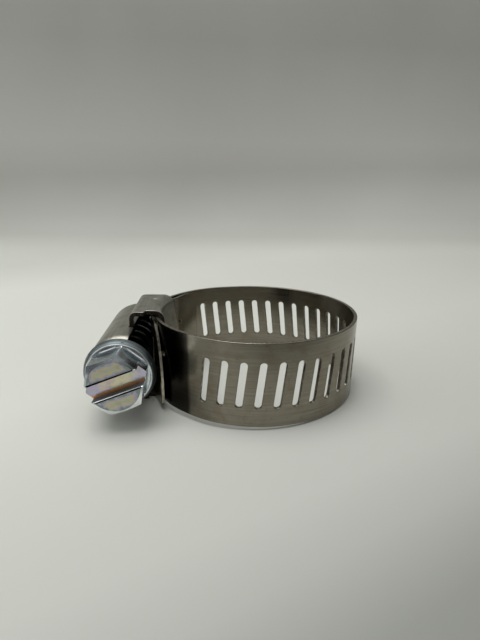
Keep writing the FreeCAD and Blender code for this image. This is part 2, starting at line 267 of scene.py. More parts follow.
def stamped_sheet():
    """Stamped stainless sheet: satin from the roll, brighter where the dies drew it. Its
    lines run along the tunnel, and are drawn coarser than they are so that they show."""
    material, tree = new_material("stamped_stainless_sheet")
    place = node(tree, "ShaderNodeTexCoord").outputs["Object"]
    drawn = node(tree, "ShaderNodeMapping", {"Vector": place, "Scale": (1, 0.05, 1)})
    lines = node(tree, "ShaderNodeTexNoise", {
        "Vector": drawn, "Scale": 1 / (0.35 * MM), "Detail": 4, "Roughness": 0.65})
    patches = node(tree, "ShaderNodeTexNoise", {
        "Vector": place, "Scale": 1 / (3.0 * MM), "Detail": 5, "Roughness": 0.6, "Distortion": 0.5})
    specks = node(tree, "ShaderNodeTexNoise", {
        "Vector": place, "Scale": 1 / (0.5 * MM), "Detail": 3, "Roughness": 0.7})
    rolled = node(tree, "ShaderNodeValToRGB", {"Fac": lines}, [(0.30, 0.0), (0.70, 1.0)])
    clean = node(tree, "ShaderNodeMix", {0: rolled, 6: "#939289", 7: "#b0afa6"}, data_type="RGBA")
    stain = node(tree, "ShaderNodeValToRGB", {"Fac": patches}, [(0.52, 0.0), (0.72, 0.6)])
    stained = node(tree, "ShaderNodeMix", {0: stain, 6: clean, 7: "#6f6452"}, data_type="RGBA")
    spot = node(tree, "ShaderNodeValToRGB", {"Fac": specks}, [(0.64, 0.0), (0.76, 0.4)])
    spotted = node(tree, "ShaderNodeMix", {0: spot, 6: stained, 7: "#5f564a"}, data_type="RGBA")
    dull = node(tree, "ShaderNodeMath", {0: patches, 1: 0.20, 2: 0.22}, operation="MULTIPLY_ADD")
    drag = node(tree, "ShaderNodeMath", {0: lines, 1: 0.10}, operation="MULTIPLY")
    rough = node(tree, "ShaderNodeMath", {0: dull, 1: drag}, operation="ADD")
    waves = node(tree, "ShaderNodeTexNoise", {"Vector": place, "Scale": 1 / (3.5 * MM), "Detail": 1})
    ripple = node(tree, "ShaderNodeBump", {"Strength": 0.6, "Distance": 0.10 * MM, "Height": waves})
    grain = node(tree, "ShaderNodeBump", {
        "Strength": 0.35, "Distance": 0.012 * MM, "Height": lines, "Normal": ripple})
    shader = node(tree, "ShaderNodeBsdfPrincipled", {
        "Metallic": 1.0, "Base Color": spotted, "Roughness": rough, "Normal": grain})
    node(tree, "ShaderNodeOutputMaterial", {"Surface": shader})
    return material


def shade_darkened_steel(name, pale, dark):
    """Painted shade: steel inside the housing, drawn almost black for the shade it lies in, with a
    faint mottle.
    """
    material, tree = new_material(name)
    place = node(tree, "ShaderNodeTexCoord").outputs["Object"]
    painted_shade_film = node(tree, "ShaderNodeTexNoise", {
        "Vector": place, "Scale": 1 / (1.4 * MM), "Detail": 4, "Roughness": 0.6})
    colour = node(tree, "ShaderNodeValToRGB", {"Fac": painted_shade_film}, [(0.35, dark), (0.72, pale)])
    rough = node(tree, "ShaderNodeValToRGB", {"Fac": painted_shade_film}, [(0.3, 0.22), (0.75, 0.42)])
    bump = node(tree, "ShaderNodeBump", {"Strength": 0.4, "Distance": 0.02 * MM, "Height": painted_shade_film})
    shader = node(tree, "ShaderNodeBsdfPrincipled", {
        "Metallic": 1.0, "Base Color": colour, "Roughness": rough, "Normal": bump})
    node(tree, "ShaderNodeOutputMaterial", {"Surface": shader})
    return material


# Where the tinted film lies on the screw's head, in millimetres: its reach from the axis to
# the hexagon's sides, and the bare border that it leaves beside the driver slot.
TINT_REACH = 3.35
TINT_BORDER = 0.42


def passivated_zinc():
    """Bright zinc plate on steel, clear-blue passivated. The passivation layer is thickest on the
    flats of the face and on the slot's floor, where it shows lavender at its border and gold
    within. On the sides, the chamfer and the collar it is thin, and blue-grey."""
    material, tree = new_material("passivated_zinc_plate")
    place = node(tree, "ShaderNodeTexCoord").outputs["Object"]
    off_axis = node(tree, "ShaderNodeVectorMath", {
        0: place, 1: (SCREW_X * MM, 0, 0)}, operation="SUBTRACT")
    centred = node(tree, "ShaderNodeVectorMath", {0: off_axis, 3: 1 / MM}, operation="SCALE")
    depth = node(tree, "ShaderNodeSeparateXYZ", {0: centred}).outputs["Y"]
    height = node(tree, "ShaderNodeSeparateXYZ", {0: centred}).outputs["Z"]
    from_axis = node(tree, "ShaderNodeVectorMath", {0: centred, 1: (1, 0, 1)}, operation="MULTIPLY")
    radius = node(tree, "ShaderNodeVectorMath", {0: from_axis}, operation="LENGTH")
    half_slot = DRIVE_WIDTH / 2

    # distance from the axis to the nearest side of the hexagon, and from the slot's middle
    reaches = []
    for angle in (HEX_TURN + 30, HEX_TURN + 90, HEX_TURN + 150, DRIVE_TURN + 90):
        way = (math.cos(math.radians(angle)), 0, math.sin(math.radians(angle)))
        along = node(tree, "ShaderNodeVectorMath", {0: centred, 1: way}, operation="DOT_PRODUCT")
        reaches.append(node(tree, "ShaderNodeMath", {0: along}, operation="ABSOLUTE"))
    across = reaches.pop()
    hexagon = reaches[0]
    for reach in reaches[1:]:
        hexagon = node(tree, "ShaderNodeMath", {0: hexagon, 1: reach}, operation="MAXIMUM")

    # the film's ragged border
    drift = node(tree, "ShaderNodeTexNoise", {
        "Vector": place, "Scale": 1 / (0.8 * MM), "Detail": 5, "Roughness": 0.62, "Distortion": 0.4})
    grime = node(tree, "ShaderNodeTexNoise", {
        "Vector": place, "Scale": 1 / (0.28 * MM), "Detail": 3, "Roughness": 0.6})
    coarse = node(tree, "ShaderNodeMath", {0: drift, 1: 1.5, 2: -0.75}, operation="MULTIPLY_ADD")
    wobble = node(tree, "ShaderNodeMath", {0: grime, 1: 0.45, 2: -0.225}, operation="MULTIPLY_ADD")
    wobble = node(tree, "ShaderNodeMath", {0: coarse, 1: wobble}, operation="ADD")

    # the two plates of the face, either side of the slot
    from_side = node(tree, "ShaderNodeMath", {0: TINT_REACH, 1: hexagon}, operation="SUBTRACT")
    from_slot = node(tree, "ShaderNodeMath", {
        0: across, 1: half_slot + TINT_BORDER}, operation="SUBTRACT")
    inside = node(tree, "ShaderNodeMath", {0: from_side, 1: from_slot}, operation="MINIMUM")
    face_film = node(tree, "ShaderNodeMath", {0: inside, 1: wobble}, operation="ADD")
    face_tint = node(tree, "ShaderNodeValToRGB", {"Fac": face_film}, [
        (0.0, "#888f90"), (0.04, "#989fa8"), (0.16, "#a9a9c4"), (0.30, "#b9a9a6"),
        (0.42, "#bfb79e"), (0.60, "#b9b79c"), (0.85, "#afb3a0")])
    on_face = node(tree, "ShaderNodeMath", {0: depth, 1: HEAD_FACE + 0.02}, operation="LESS_THAN")

    # the slot's floor: lavender at its ends, gold between, and a brown line along its lower wall
    on_floor = node(tree, "ShaderNodeMath", {
        0: depth, 1: HEAD_FACE + DRIVE_DEPTH, 2: 0.02}, operation="COMPARE")
    turn = math.radians(DRIVE_TURN)
    lengthwise = node(tree, "ShaderNodeVectorMath", {
        0: centred, 1: (math.cos(turn), 0, math.sin(turn))}, operation="DOT_PRODUCT")
    sideways = node(tree, "ShaderNodeVectorMath", {
        0: centred, 1: (-math.sin(turn), 0, math.cos(turn))}, operation="DOT_PRODUCT")
    run = node(tree, "ShaderNodeMath", {0: lengthwise, 1: 0.11, 2: 0.5}, operation="MULTIPLY_ADD")
    run = node(tree, "ShaderNodeMath", {0: run, 1: wobble}, operation="ADD")
    floor_film = node(tree, "ShaderNodeValToRGB", {"Fac": run}, [
        (0.0, "#bcb8cc"), (0.26, "#c8bfd4"), (0.40, "#d3c3b0"), (0.55, "#d8d2b6"),
        (0.74, "#d3d1ba"), (0.90, "#c8c1d8")])
    above_wall = node(tree, "ShaderNodeMath", {
        0: wobble, 1: 0.15, 2: half_slot}, operation="MULTIPLY_ADD")
    above_wall = node(tree, "ShaderNodeMath", {0: sideways, 1: above_wall}, operation="ADD")
    brown = node(tree, "ShaderNodeValToRGB", {"Fac": above_wall}, [(0.34, 1.0), (0.44, 0.0)])
    floor_tint = node(tree, "ShaderNodeMix", {0: brown, 6: floor_film, 7: "#f2b280"}, data_type="RGBA")

    # thin film elsewhere, with painted highlights on the slot's lips and the foot of the hexagon: a
    # near-white base colour where the lamps would catch them
    thin = node(tree, "ShaderNodeValToRGB", {"Fac": drift}, [
        (0.30, "#a6afb2"), (0.55, "#c0c8cc"), (0.75, "#bbbecf")])
    past_slot = node(tree, "ShaderNodeMath", {0: across, 1: half_slot}, operation="SUBTRACT")
    lip = node(tree, "ShaderNodeValToRGB", {"Fac": past_slot}, [(0.18, 1.0), (0.30, 0.0)])
    past_collar = node(tree, "ShaderNodeMath", {0: depth, 1: 0.25 - COLLAR_FRONT}, operation="ADD")
    foot = node(tree, "ShaderNodeValToRGB", {"Fac": past_collar}, [
        (0.0, 0.0), (0.12, 1.0), (0.40, 1.0), (0.60, 0.35)])
    ahead = node(tree, "ShaderNodeMath", {0: COLLAR_FRONT - 0.7, 1: depth}, operation="SUBTRACT")
    front = node(tree, "ShaderNodeValToRGB", {"Fac": ahead}, [(0.0, 0.0), (0.3, 1.0)])
    painted_highlight_mask = node(tree, "ShaderNodeMath", {0: lip, 1: front}, operation="MULTIPLY")
    painted_highlight_mask = node(tree, "ShaderNodeMath", {0: painted_highlight_mask, 1: foot}, operation="MAXIMUM")
    thin = node(tree, "ShaderNodeMix", {0: painted_highlight_mask, 6: thin, 7: "#eef3f4"}, data_type="RGBA")

    # painted highlight: the lower half of the chamfer is drawn brighter still, for the lit floor that
    # it reflects
    below = node(tree, "ShaderNodeMath", {0: -0.5, 1: height}, operation="SUBTRACT")
    lower = node(tree, "ShaderNodeValToRGB", {"Fac": below}, [(0.0, 0.0), (1.0, 1.0)])
    on_chamfer = node(tree, "ShaderNodeMath", {
        0: depth, 1: HEAD_FACE + CHAMFER_HEIGHT + 0.05}, operation="LESS_THAN")
    chamfer = node(tree, "ShaderNodeMath", {0: lower, 1: on_chamfer}, operation="MULTIPLY")
    thin = node(tree, "ShaderNodeMix", {0: chamfer, 6: thin, 7: "#f2f6f6"}, data_type="RGBA")

    # the slot's walls and the collar's rim are dull, and drawn darker: painted shade on the walls, and
    # on the rim a darker base that damps the lamp's highlight
    in_slot = node(tree, "ShaderNodeMath", {0: across, 1: half_slot + 0.02}, operation="LESS_THAN")
    past_lip = node(tree, "ShaderNodeMath", {0: depth, 1: HEAD_FACE + 0.25}, operation="GREATER_THAN")
    off_floor = node(tree, "ShaderNodeMath", {
        0: depth, 1: HEAD_FACE + DRIVE_DEPTH - 0.01}, operation="LESS_THAN")
    wall = node(tree, "ShaderNodeMath", {0: in_slot, 1: past_lip}, operation="MULTIPLY")
    wall = node(tree, "ShaderNodeMath", {0: wall, 1: off_floor}, operation="MULTIPLY")
    thin = node(tree, "ShaderNodeMix", {0: wall, 6: thin, 7: "#8c9698"}, data_type="RGBA")
    past_dish = node(tree, "ShaderNodeMath", {
        0: radius, 1: COLLAR_RADIUS - COLLAR_RIM}, operation="SUBTRACT")
    rim = node(tree, "ShaderNodeValToRGB", {"Fac": past_dish}, [
        (0.0, 0.0), (0.06, 0.0), (0.16, 1.0)])
    thin = node(tree, "ShaderNodeMix", {0: rim, 6: thin, 7: "#687071"}, data_type="RGBA")

    # painted highlight: the face is drawn paler along the slot's lips
    edged = node(tree, "ShaderNodeMix", {0: lip, 6: face_tint, 7: "#cfd6d8"}, data_type="RGBA")
    tint = node(tree, "ShaderNodeMix", {0: on_face, 6: thin, 7: edged}, data_type="RGBA")
    tint = node(tree, "ShaderNodeMix", {0: on_floor, 6: tint, 7: floor_tint}, data_type="RGBA")
    handled = node(tree, "ShaderNodeMapping", {"Vector": place, "Scale": (1, 0.5, 1)})
    smears = node(tree, "ShaderNodeTexNoise", {
        "Vector": handled, "Scale": 1 / (1.1 * MM), "Detail": 4, "Roughness": 0.6})
    smeared = node(tree, "ShaderNodeValToRGB", {"Fac": smears}, [(0.50, 0.0), (0.80, 0.40)])
    worn = node(tree, "ShaderNodeMix", {0: smeared, 6: tint, 7: "#6f7478"}, data_type="RGBA")
    matt = node(tree, "ShaderNodeMath", {0: brown, 1: on_floor}, operation="MULTIPLY")
    for dull in (wall, rim):
        matt = node(tree, "ShaderNodeMath", {0: dull, 1: matt}, operation="MAXIMUM")
    polish = node(tree, "ShaderNodeValToRGB", {"Fac": smears}, [(0.3, 0.14), (0.75, 0.30)])
    rough = node(tree, "ShaderNodeMath", {0: matt, 1: 0.26, 2: polish}, operation="MULTIPLY_ADD")
    pits = node(tree, "ShaderNodeTexNoise", {"Vector": place, "Scale": 1 / (0.6 * MM), "Detail": 3})
    bump = node(tree, "ShaderNodeBump", {"Strength": 0.35, "Distance": 0.02 * MM, "Height": pits})
    shader = node(tree, "ShaderNodeBsdfPrincipled", {
        "Metallic": 1.0, "Base Color": worn, "Roughness": rough, "Normal": bump})
    node(tree, "ShaderNodeOutputMaterial", {"Surface": shader})
    return material


strip_steel = cold_rolled_strip()
sheared_edge = sheared_steel("sheared_strip_edge", "#57524a", "#8f8a7e", "#c6c2b4")
torn_edge = sheared_steel("torn_sheet_edge", "#2f2a24", "#4b443a", "#7d7464")
housing_steel = stamped_sheet()
zinc_plate = passivated_zinc()
# painted highlight: a bright edge material on the tail's end face, for the top lamp's light on it
tail_end_highlight = sheared_steel("tail_end_painted_highlight", "#8f8878", "#d2ccba", "#f2ecdb")
# painted shade: the housing's inner face and the worm inside the tunnel are drawn almost black
inner_steel = shade_darkened_steel("inner_steel_painted_shade", "#1f1d1a", "#0f0e0c")
worm_steel = shade_darkened_steel("worm_steel_painted_shade", "#1d1e20", "#0c0d0e")


# ---------------------------------------------------------------- the band's path
def seat_distance(radius, azimuth):
    """Distance from the ring's centre to a circle about the seat's centre."""
    turn = math.radians(azimuth - 180)
    across = SEAT_OFFSET * math.sin(turn)
    return SEAT_OFFSET * math.cos(turn) + math.sqrt(radius ** 2 - across ** 2)


def smooth(value, low, high):
    """Rises from 0 at low to 1 at high, level at both ends."""
    share = min(max((value - low) / (high - low), 0), 1)
    return share * share * (3 - 2 * share)


def mid_radius(azimuth):
    """Distance from the ring's centre to the middle of the band's thickness."""
    if azimuth < FRONT_BLEND[1]:
        seat = seat_distance(FIXED_MID, azimuth)
        if azimuth < TONGUE_SPRING_START:
            rise = 1 - smooth(azimuth, TONGUE_SPRING_PEAK, TONGUE_SPRING_START)
            fall = min((azimuth - TONGUE_END) / (TONGUE_SPRING_PEAK - TONGUE_END), 1)
            seat -= TONGUE_SPRING * rise * (0.15 + 0.85 * fall ** 1.3)
        return seat + smooth(azimuth, *FRONT_BLEND) * (RING_MID - seat)
    if azimuth > BACK_BLEND[0]:
        seat = seat_distance(FREE_MID, azimuth)
        if azimuth > TAIL_LIFT_START:
            seat += TAIL_LIFT * ((azimuth - TAIL_LIFT_START) / (TAIL_END - TAIL_LIFT_START)) ** 2
        return RING_MID + smooth(azimuth, *BACK_BLEND) * (seat - RING_MID)
    return RING_MID


def mid_point(azimuth):
    angle = math.radians(azimuth)
    return Vector((math.cos(angle), math.sin(angle), 0)) * mid_radius(azimuth)


# the path runs 3 degrees on past the tail's end, for the tip's arc
AZIMUTHS = [TONGUE_END + PATH_STEP * i for i in range(round((TAIL_END - TONGUE_END) / PATH_STEP) + 13)]
PATH = [mid_point(azimuth) for azimuth in AZIMUTHS]
LENGTHS = [0.0]
for before, after in zip(PATH, PATH[1:]):
    LENGTHS.append(LENGTHS[-1] + (after - before).length)


def length_at(azimuth):
    """Length of band from the tongue's end to an azimuth."""
    place = (azimuth - TONGUE_END) / PATH_STEP
    index = min(int(place), len(LENGTHS) - 2)
    return LENGTHS[index] + (place - index) * (LENGTHS[index + 1] - LENGTHS[index])


def azimuth_at(length):
    index = min(max(bisect.bisect(LENGTHS, length) - 1, 0), len(LENGTHS) - 2)
    share = (length - LENGTHS[index]) / (LENGTHS[index + 1] - LENGTHS[index])
    return AZIMUTHS[index] + share * PATH_STEP


def slot_length(count):
    """Length of band from the tongue's end to a slot, or with a half count to a web."""
    return length_at(FIRST_SLOT_AZIMUTH) + count * SLOT_PITCH


def path_point(count):
    return mid_point(azimuth_at(slot_length(count))) * MM


# ---------------------------------------------------------------- flat pieces of strip
# A flat piece lies in (off the middle, along, across), in millimetres. Its ends stay open
# where it joins the next one.
EDGE_STEPS = [BAND_EDGE_ROUND * (1 - math.sin(math.radians(a))) for a in (90, 60, 30, 0)]


def rounding(distance):
    """How far the face sinks, near a rounded edge."""
    if distance >= BAND_EDGE_ROUND:
        return 0.0
    left = BAND_EDGE_ROUND - distance
    return BAND_EDGE_ROUND - math.sqrt(max(BAND_EDGE_ROUND ** 2 - left ** 2, 0))


def across_rows(middle):
    """Heights across the band, close together at its rounded edges."""
    edge = BAND_WIDTH / 2
    rim = [edge - step for step in EDGE_STEPS] + [edge - 0.2, edge - 0.5]
    return sorted([-z for z in rim] + list(middle) + rim)


def spread(low, high, count):
    return [low + (high - low) * i / count for i in range(count + 1)]


def flat_strip(name, rows, along, hole=None, free_start=False, free_end=False):
    """Slab of strip. along(row height) gives the places along the band of that row's points.
    hole is (outline, first row, last row, first column, last column)."""
    grid = [along(z) for z in rows]
    columns = len(grid[0])
    bm = bmesh.new()
    cut = bm.faces.layers.int.new("cut")
    faces = {}
    for side in (1, -1):
        points = {}
        for r, z in enumerate(rows):
            start, end = grid[r][0], grid[r][-1]
            for c, y in enumerate(grid[r]):
                distance = BAND_WIDTH / 2 - abs(z)
                if free_start:
                    distance = min(distance, y - start)
                if free_end:
                    distance = min(distance, end - y)
                points[r, c] = bm.verts.new((side * (HALF - rounding(distance)), y, z))
        faces[side] = points
        for r in range(len(rows) - 1):
            for c in range(columns - 1):
                if hole and hole[1] <= r < hole[2] and hole[3] <= c < hole[4]:
                    continue
                corners = [points[r, c], points[r, c + 1], points[r + 1, c + 1], points[r + 1, c]]
                face = bm.faces.new(corners if side > 0 else corners[::-1])
                low = min(HALF - abs(v.co.x) for v in corners)
                face[cut] = int(low > 0.3 * BAND_EDGE_ROUND)

    def wall(path, turn):
        for a, b in zip(path, path[1:]):
            corners = [faces[1][a], faces[1][b], faces[-1][b], faces[-1][a]]
            bm.faces.new(corners if turn else corners[::-1])[cut] = 1

    last = len(rows) - 1
    wall([(0, c) for c in range(columns)], False)
    wall([(last, c) for c in range(columns)], True)
    if free_start:
        wall([(r, 0) for r in range(len(rows))], True)
    if free_end:
        wall([(r, columns - 1) for r in range(len(rows))], False)
    if hole:
        outline, r0, r1, c0, c1 = hole
        frame_keys = [(r, c1) for r in range(r0, r1)] + [(r1, c) for c in range(c1, c0, -1)]
        frame_keys += [(r, c0) for r in range(r1, r0, -1)] + [(r0, c) for c in range(c0, c1)]
        count = len(frame_keys)
        rims = {}
        for side in (1, -1):
            ring = [faces[side][key] for key in frame_keys]
            for number, step in enumerate([HOLE_MARGIN, HOLE_MARGIN] + EDGE_STEPS[::-1]):
                new = []
                for k, (y, z) in enumerate(outline(step)):
                    if number == 0:
                        # the outermost ring lies halfway to the grid
                        far = faces[side][frame_keys[k]].co
                        y, z = (y + far.y) / 2, (z + far.z) / 2
                    new.append(bm.verts.new((side * (HALF - rounding(step)), y, z)))
                for k in range(count):
                    j = (k + 1) % count
                    corners = [ring[k], ring[j], new[j], new[k]]
                    face = bm.faces.new(corners if side > 0 else corners[::-1])
                    face[cut] = int(step < 0.5 * BAND_EDGE_ROUND)
                ring = new
            rims[side] = ring
        for k in range(count):
            j = (k + 1) % count
            bm.faces.new([rims[1][k], rims[1][j], rims[-1][j], rims[-1][k]])[cut] = 1
    for vert in bm.verts:
        vert.co *= MM
    mesh = bpy.data.meshes.new(name)
    bm.to_mesh(mesh)
    bm.free()
    return bpy.data.objects.new(name, mesh)


# Steps along a slot's side and round its end, and half the height of the rows it is cut in.
SIDE_STEPS = 12
TOP_STEPS = 8
SLOT_ROOM = 4.15
SLOT_ROWS = across_rows([-5.0] + spread(-SLOT_ROOM, SLOT_ROOM, SIDE_STEPS) + [5.0])


def slot_outline(grow):
    """Leaning round-ended slot, from its lower right corner round to the left."""
    radius = SLOT_WIDTH / 2 + grow
    reach = (SLOT_LENGTH - SLOT_WIDTH) / 2
    points = [(radius, z) for z in spread(-reach, reach, SIDE_STEPS)[:-1]]
    turn = [math.pi * i / TOP_STEPS for i in range(TOP_STEPS)]
    points += [(radius * math.cos(a), reach + radius * math.sin(a)) for a in turn]
    points += [(-radius, z) for z in spread(reach, -reach, SIDE_STEPS)[:-1]]
    points += [(-radius * math.cos(a), -reach - radius * math.sin(a)) for a in turn]
    c, s = math.cos(SLOT_SLANT), math.sin(SLOT_SLANT)
    return [(y * c + z * s, z * c - y * s) for y, z in points]


def slotted_cell():
    """One pitch of band, with its slot."""
    first = SLOT_ROWS.index(-SLOT_ROOM)
    hole = (slot_outline, first, first + SIDE_STEPS, 0, TOP_STEPS)
    columns = spread(-SLOT_PITCH / 2, SLOT_PITCH / 2, TOP_STEPS)
    return flat_strip("slot_cell", SLOT_ROWS, lambda z: columns, hole)


def ring_outline(centre):
    """Round hole at a place along the band, to fit a frame of 4 by 4 steps."""
    def outline(grow):
        angles = [math.radians(-45 + 22.5 * i) for i in range(16)]
        radius = LOCKING_HOLE_RADIUS + grow
        return [(centre + radius * math.cos(a), LOCKING_HOLE_HEIGHT + radius * math.sin(a))
                for a in angles]
    return outline


def steps_between(places, most=0.36):
    """Places along the band with more added, so that none are further apart than most."""
    out = [places[0]]
    for low, high in zip(places, places[1:]):
        out += spread(low, high, max(1, math.ceil((high - low) / most - 1e-6)))[1:]
    return out


HOLE_ROWS = spread(LOCKING_HOLE_HEIGHT - HOLE_SQUARE, LOCKING_HOLE_HEIGHT + HOLE_SQUARE, 4)


def holed_strip(name, rows, start, end, azimuth, along=None, added=0):
    """Stretch of strip with a locking hole. For a free start, along(columns, row height) moves
    a row's places, and puts so many more before them as added says."""
    centre = length_at(azimuth)
    window = spread(centre - HOLE_SQUARE, centre + HOLE_SQUARE, 4)
    columns = steps_between([start, window[0]])[:-1] + window + steps_between([window[-1], end])[1:]
    row = rows.index(HOLE_ROWS[0])
    column = columns.index(window[0]) + added
    hole = (ring_outline(centre), row, row + 4, column, column + 4)
    return flat_strip(name, rows, lambda z: along(columns, z) if along else columns, hole,
                      free_start=bool(added))


def tongue_flat():
    """Tongue: the fixed end, with two rounded corners."""
    edge = BAND_WIDTH / 2
    corner = [edge - TONGUE_CORNER * (1 - math.sin(math.radians(a))) for a in range(0, 90, 9)]
    rows = across_rows([-z for z in corner] + [-2.2, -1.1, 0.0] + HOLE_ROWS + corner)
    rows = [z for i, z in enumerate(rows) if i == 0 or z - rows[i - 1] > 1e-4]
    straight = edge - TONGUE_CORNER
    level = 3.3

    def along(columns, z):
        """Follows the rounded corners at first, and is straight from level onwards."""
        past = max(abs(z) - straight, 0)
        set_back = TONGUE_CORNER - math.sqrt(max(TONGUE_CORNER ** 2 - past ** 2, 0))
        free = [set_back + step for step in EDGE_STEPS] + [set_back + 0.2]
        return free + [y if y > level else set_back + y * (level - set_back) / level for y in columns]

    end = length_at(OPEN_JOINT) - OPEN_GAP / 2
    return holed_strip("tongue_flat", rows, 0.3, end, LOCKING_HOLES[0], along, len(EDGE_STEPS) + 1)


def seated_flat():
    """Stretch inside the ears' front ends, from the open joint to the third web."""
    rows = across_rows([-5, -4, -3, -2, -1, 0] + HOLE_ROWS + [3.5, 4.5])
    start = length_at(OPEN_JOINT) + OPEN_GAP / 2
    return holed_strip("seated_flat", rows, start, slot_length(-2.5), LOCKING_HOLES[1])


def web_flat():
    """Plain stretch before the first slot."""
    columns = spread(slot_length(-2.5), slot_length(-0.5), 16)
    return flat_strip("web_flat", SLOT_ROWS, lambda z: columns)


def tail_flat(first):
    """Plain tip of the free end, from the web numbered first, cut to a shallow arc."""
    end = length_at(TAIL_END) + TAIL_TIP_REACH
    start = slot_length(first)

    def along(z):
        tip = end - TAIL_TIP_RADIUS + math.sqrt(TAIL_TIP_RADIUS ** 2 - (z - TAIL_TIP_APEX) ** 2)
        body = spread(start, tip - 0.2, 12)
        return body + [tip - step for step in EDGE_STEPS]
    return flat_strip("tail_flat", SLOT_ROWS, along, free_end=True)


# ---------------------------------------------------------------- laying strip along its path
def band_tree():
    """Geometry Nodes: repeats a cell along the band's length, joins an end piece to it, and
    bends the flat result to the path."""
    tree = bpy.data.node_groups.new("strip_along_path", "GeometryNodeTree")
    for name, kind in (("Cell", "Object"), ("End piece", "Object"), ("Path", "Object"),
                       ("First", "Float"), ("Pitch", "Float"), ("Count", "Int"),
                       ("Material", "Material")):
        tree.interface.new_socket(name, in_out="INPUT", socket_type="NodeSocket" + kind)
    tree.interface.new_socket("Geometry", in_out="OUTPUT", socket_type="NodeSocketGeometry")
    sizes = node(tree, "NodeGroupInput").outputs
    cell = node(tree, "GeometryNodeObjectInfo", {"Object": sizes["Cell"]})
    start = node(tree, "ShaderNodeCombineXYZ", {"Y": sizes["First"]})
    stride = node(tree, "ShaderNodeCombineXYZ", {"Y": sizes["Pitch"]})
    line = node(tree, "GeometryNodeMeshLine", {
        "Count": sizes["Count"], "Start Location": start, "Offset": stride})
    row = node(tree, "GeometryNodeInstanceOnPoints", {
        "Points": line, "Instance": cell.outputs["Geometry"]})
    end = node(tree, "GeometryNodeObjectInfo", {"Object": sizes["End piece"]})
    both = node(tree, "GeometryNodeJoinGeometry")
    tree.links.new(end.outputs["Geometry"], both.inputs[0])
    tree.links.new(row.outputs[0], both.inputs[0])
    flat = node(tree, "GeometryNodeRealizeInstances", {"Geometry": both})
    whole = node(tree, "GeometryNodeMergeByDistance", {"Geometry": flat, "Distance": 0.002 * MM})
    place = node(tree, "GeometryNodeInputPosition")
    parts = node(tree, "ShaderNodeSeparateXYZ", {0: place}).outputs
    mapped = node(tree, "ShaderNodeCombineXYZ", {"X": parts["Y"], "Y": parts["Z"]})
    stored = node(tree, "GeometryNodeStoreNamedAttribute", {"Geometry": whole, "Name": "UVMap"},
                  data_type="FLOAT2", domain="CORNER")
    tree.links.new(mapped.outputs[0], next(s for s in stored.inputs if s.name == "Value" and s.enabled))
    path = node(tree, "GeometryNodeObjectInfo", {"Object": sizes["Path"]})
    sample = node(tree, "GeometryNodeSampleCurve", {
        "Curves": path.outputs["Geometry"], "Length": parts["Y"]}, mode="LENGTH", use_all_curves=True)
    off = node(tree, "ShaderNodeVectorMath", {
        0: sample.outputs["Tangent"], 1: (0, 0, 1)}, operation="CROSS_PRODUCT")
    out = node(tree, "ShaderNodeVectorMath", {0: off, 3: parts["X"]}, operation="SCALE")
    up = node(tree, "ShaderNodeCombineXYZ", {"Z": parts["Z"]})
    moved = node(tree, "ShaderNodeVectorMath", {0: sample.outputs["Position"], 1: out}, operation="ADD")
    final = node(tree, "ShaderNodeVectorMath", {0: moved, 1: up}, operation="ADD")
    bent = node(tree, "GeometryNodeSetPosition", {"Geometry": stored, "Position": final})
    real = node(tree, "GeometryNodeRealizeInstances", {"Geometry": bent})
    painted = node(tree, "GeometryNodeSetMaterial", {"Geometry": real, "Material": sizes["Material"]})
    node(tree, "NodeGroupOutput", {"Geometry": painted})
    return tree


def evaluated_mesh(obj):
    """The plain mesh that an object's modifiers make of it."""
    bpy.context.view_layer.update()
    graph = bpy.context.evaluated_depsgraph_get()
    return bpy.data.meshes.new_from_object(
        obj.evaluated_get(graph), preserve_all_data_layers=True, depsgraph=graph)


def grown(obj, tree, values):
    """The plain mesh that a tree makes on an object, with the modifier gone again."""
    modifier = obj.modifiers.new("shape", "NODES")
    modifier.node_group = tree
    for item in tree.interface.items_tree:
        if item.in_out == "INPUT" and item.name in values:
            modifier[item.identifier] = values[item.name]
    mesh = evaluated_mesh(obj)
    obj.modifiers.remove(modifier)
    return mesh


def finish_mesh(mesh, angle=38.0):
    """Closes open ends, turns faces outwards and shades smooth up to an angle."""
    bm = bmesh.new()
    bm.from_mesh(mesh)
    bmesh.ops.remove_doubles(bm, verts=bm.verts, dist=0.0005 * MM)
    open_edges = [e for e in bm.edges if e.is_boundary]
    if open_edges:
        bmesh.ops.holes_fill(bm, edges=open_edges, sides=0)
    bmesh.ops.recalc_face_normals(bm, faces=bm.faces)
    for face in bm.faces:
        face.smooth = True
    for edge in bm.edges:
        if edge.is_manifold:
            edge.smooth = edge.calc_face_angle(0) < math.radians(angle)
    bm.to_mesh(mesh)
    bm.free()


def piece(name, mesh):
    """Puts a finished mesh in the scene, as a piece of the object."""
    mesh.name = name
    obj = bpy.data.objects.new(name, mesh)
    bpy.context.scene.collection.objects.link(obj)
    return obj


def spring_out(mesh):
    """The free ring is a little longer away from the housing than it is wide: it stands out
    by OVAL at an azimuth of 2 degrees, and by nothing 85 degrees to either side."""
    for vert in mesh.vertices:
        away = (math.degrees(math.atan2(vert.co.y, vert.co.x)) - 2) / 85
        if abs(away) < 1:
            push = OVAL * MM * (1 + math.cos(math.pi * away)) / 2
            vert.co += Vector((vert.co.x, vert.co.y, 0)).normalized() * push


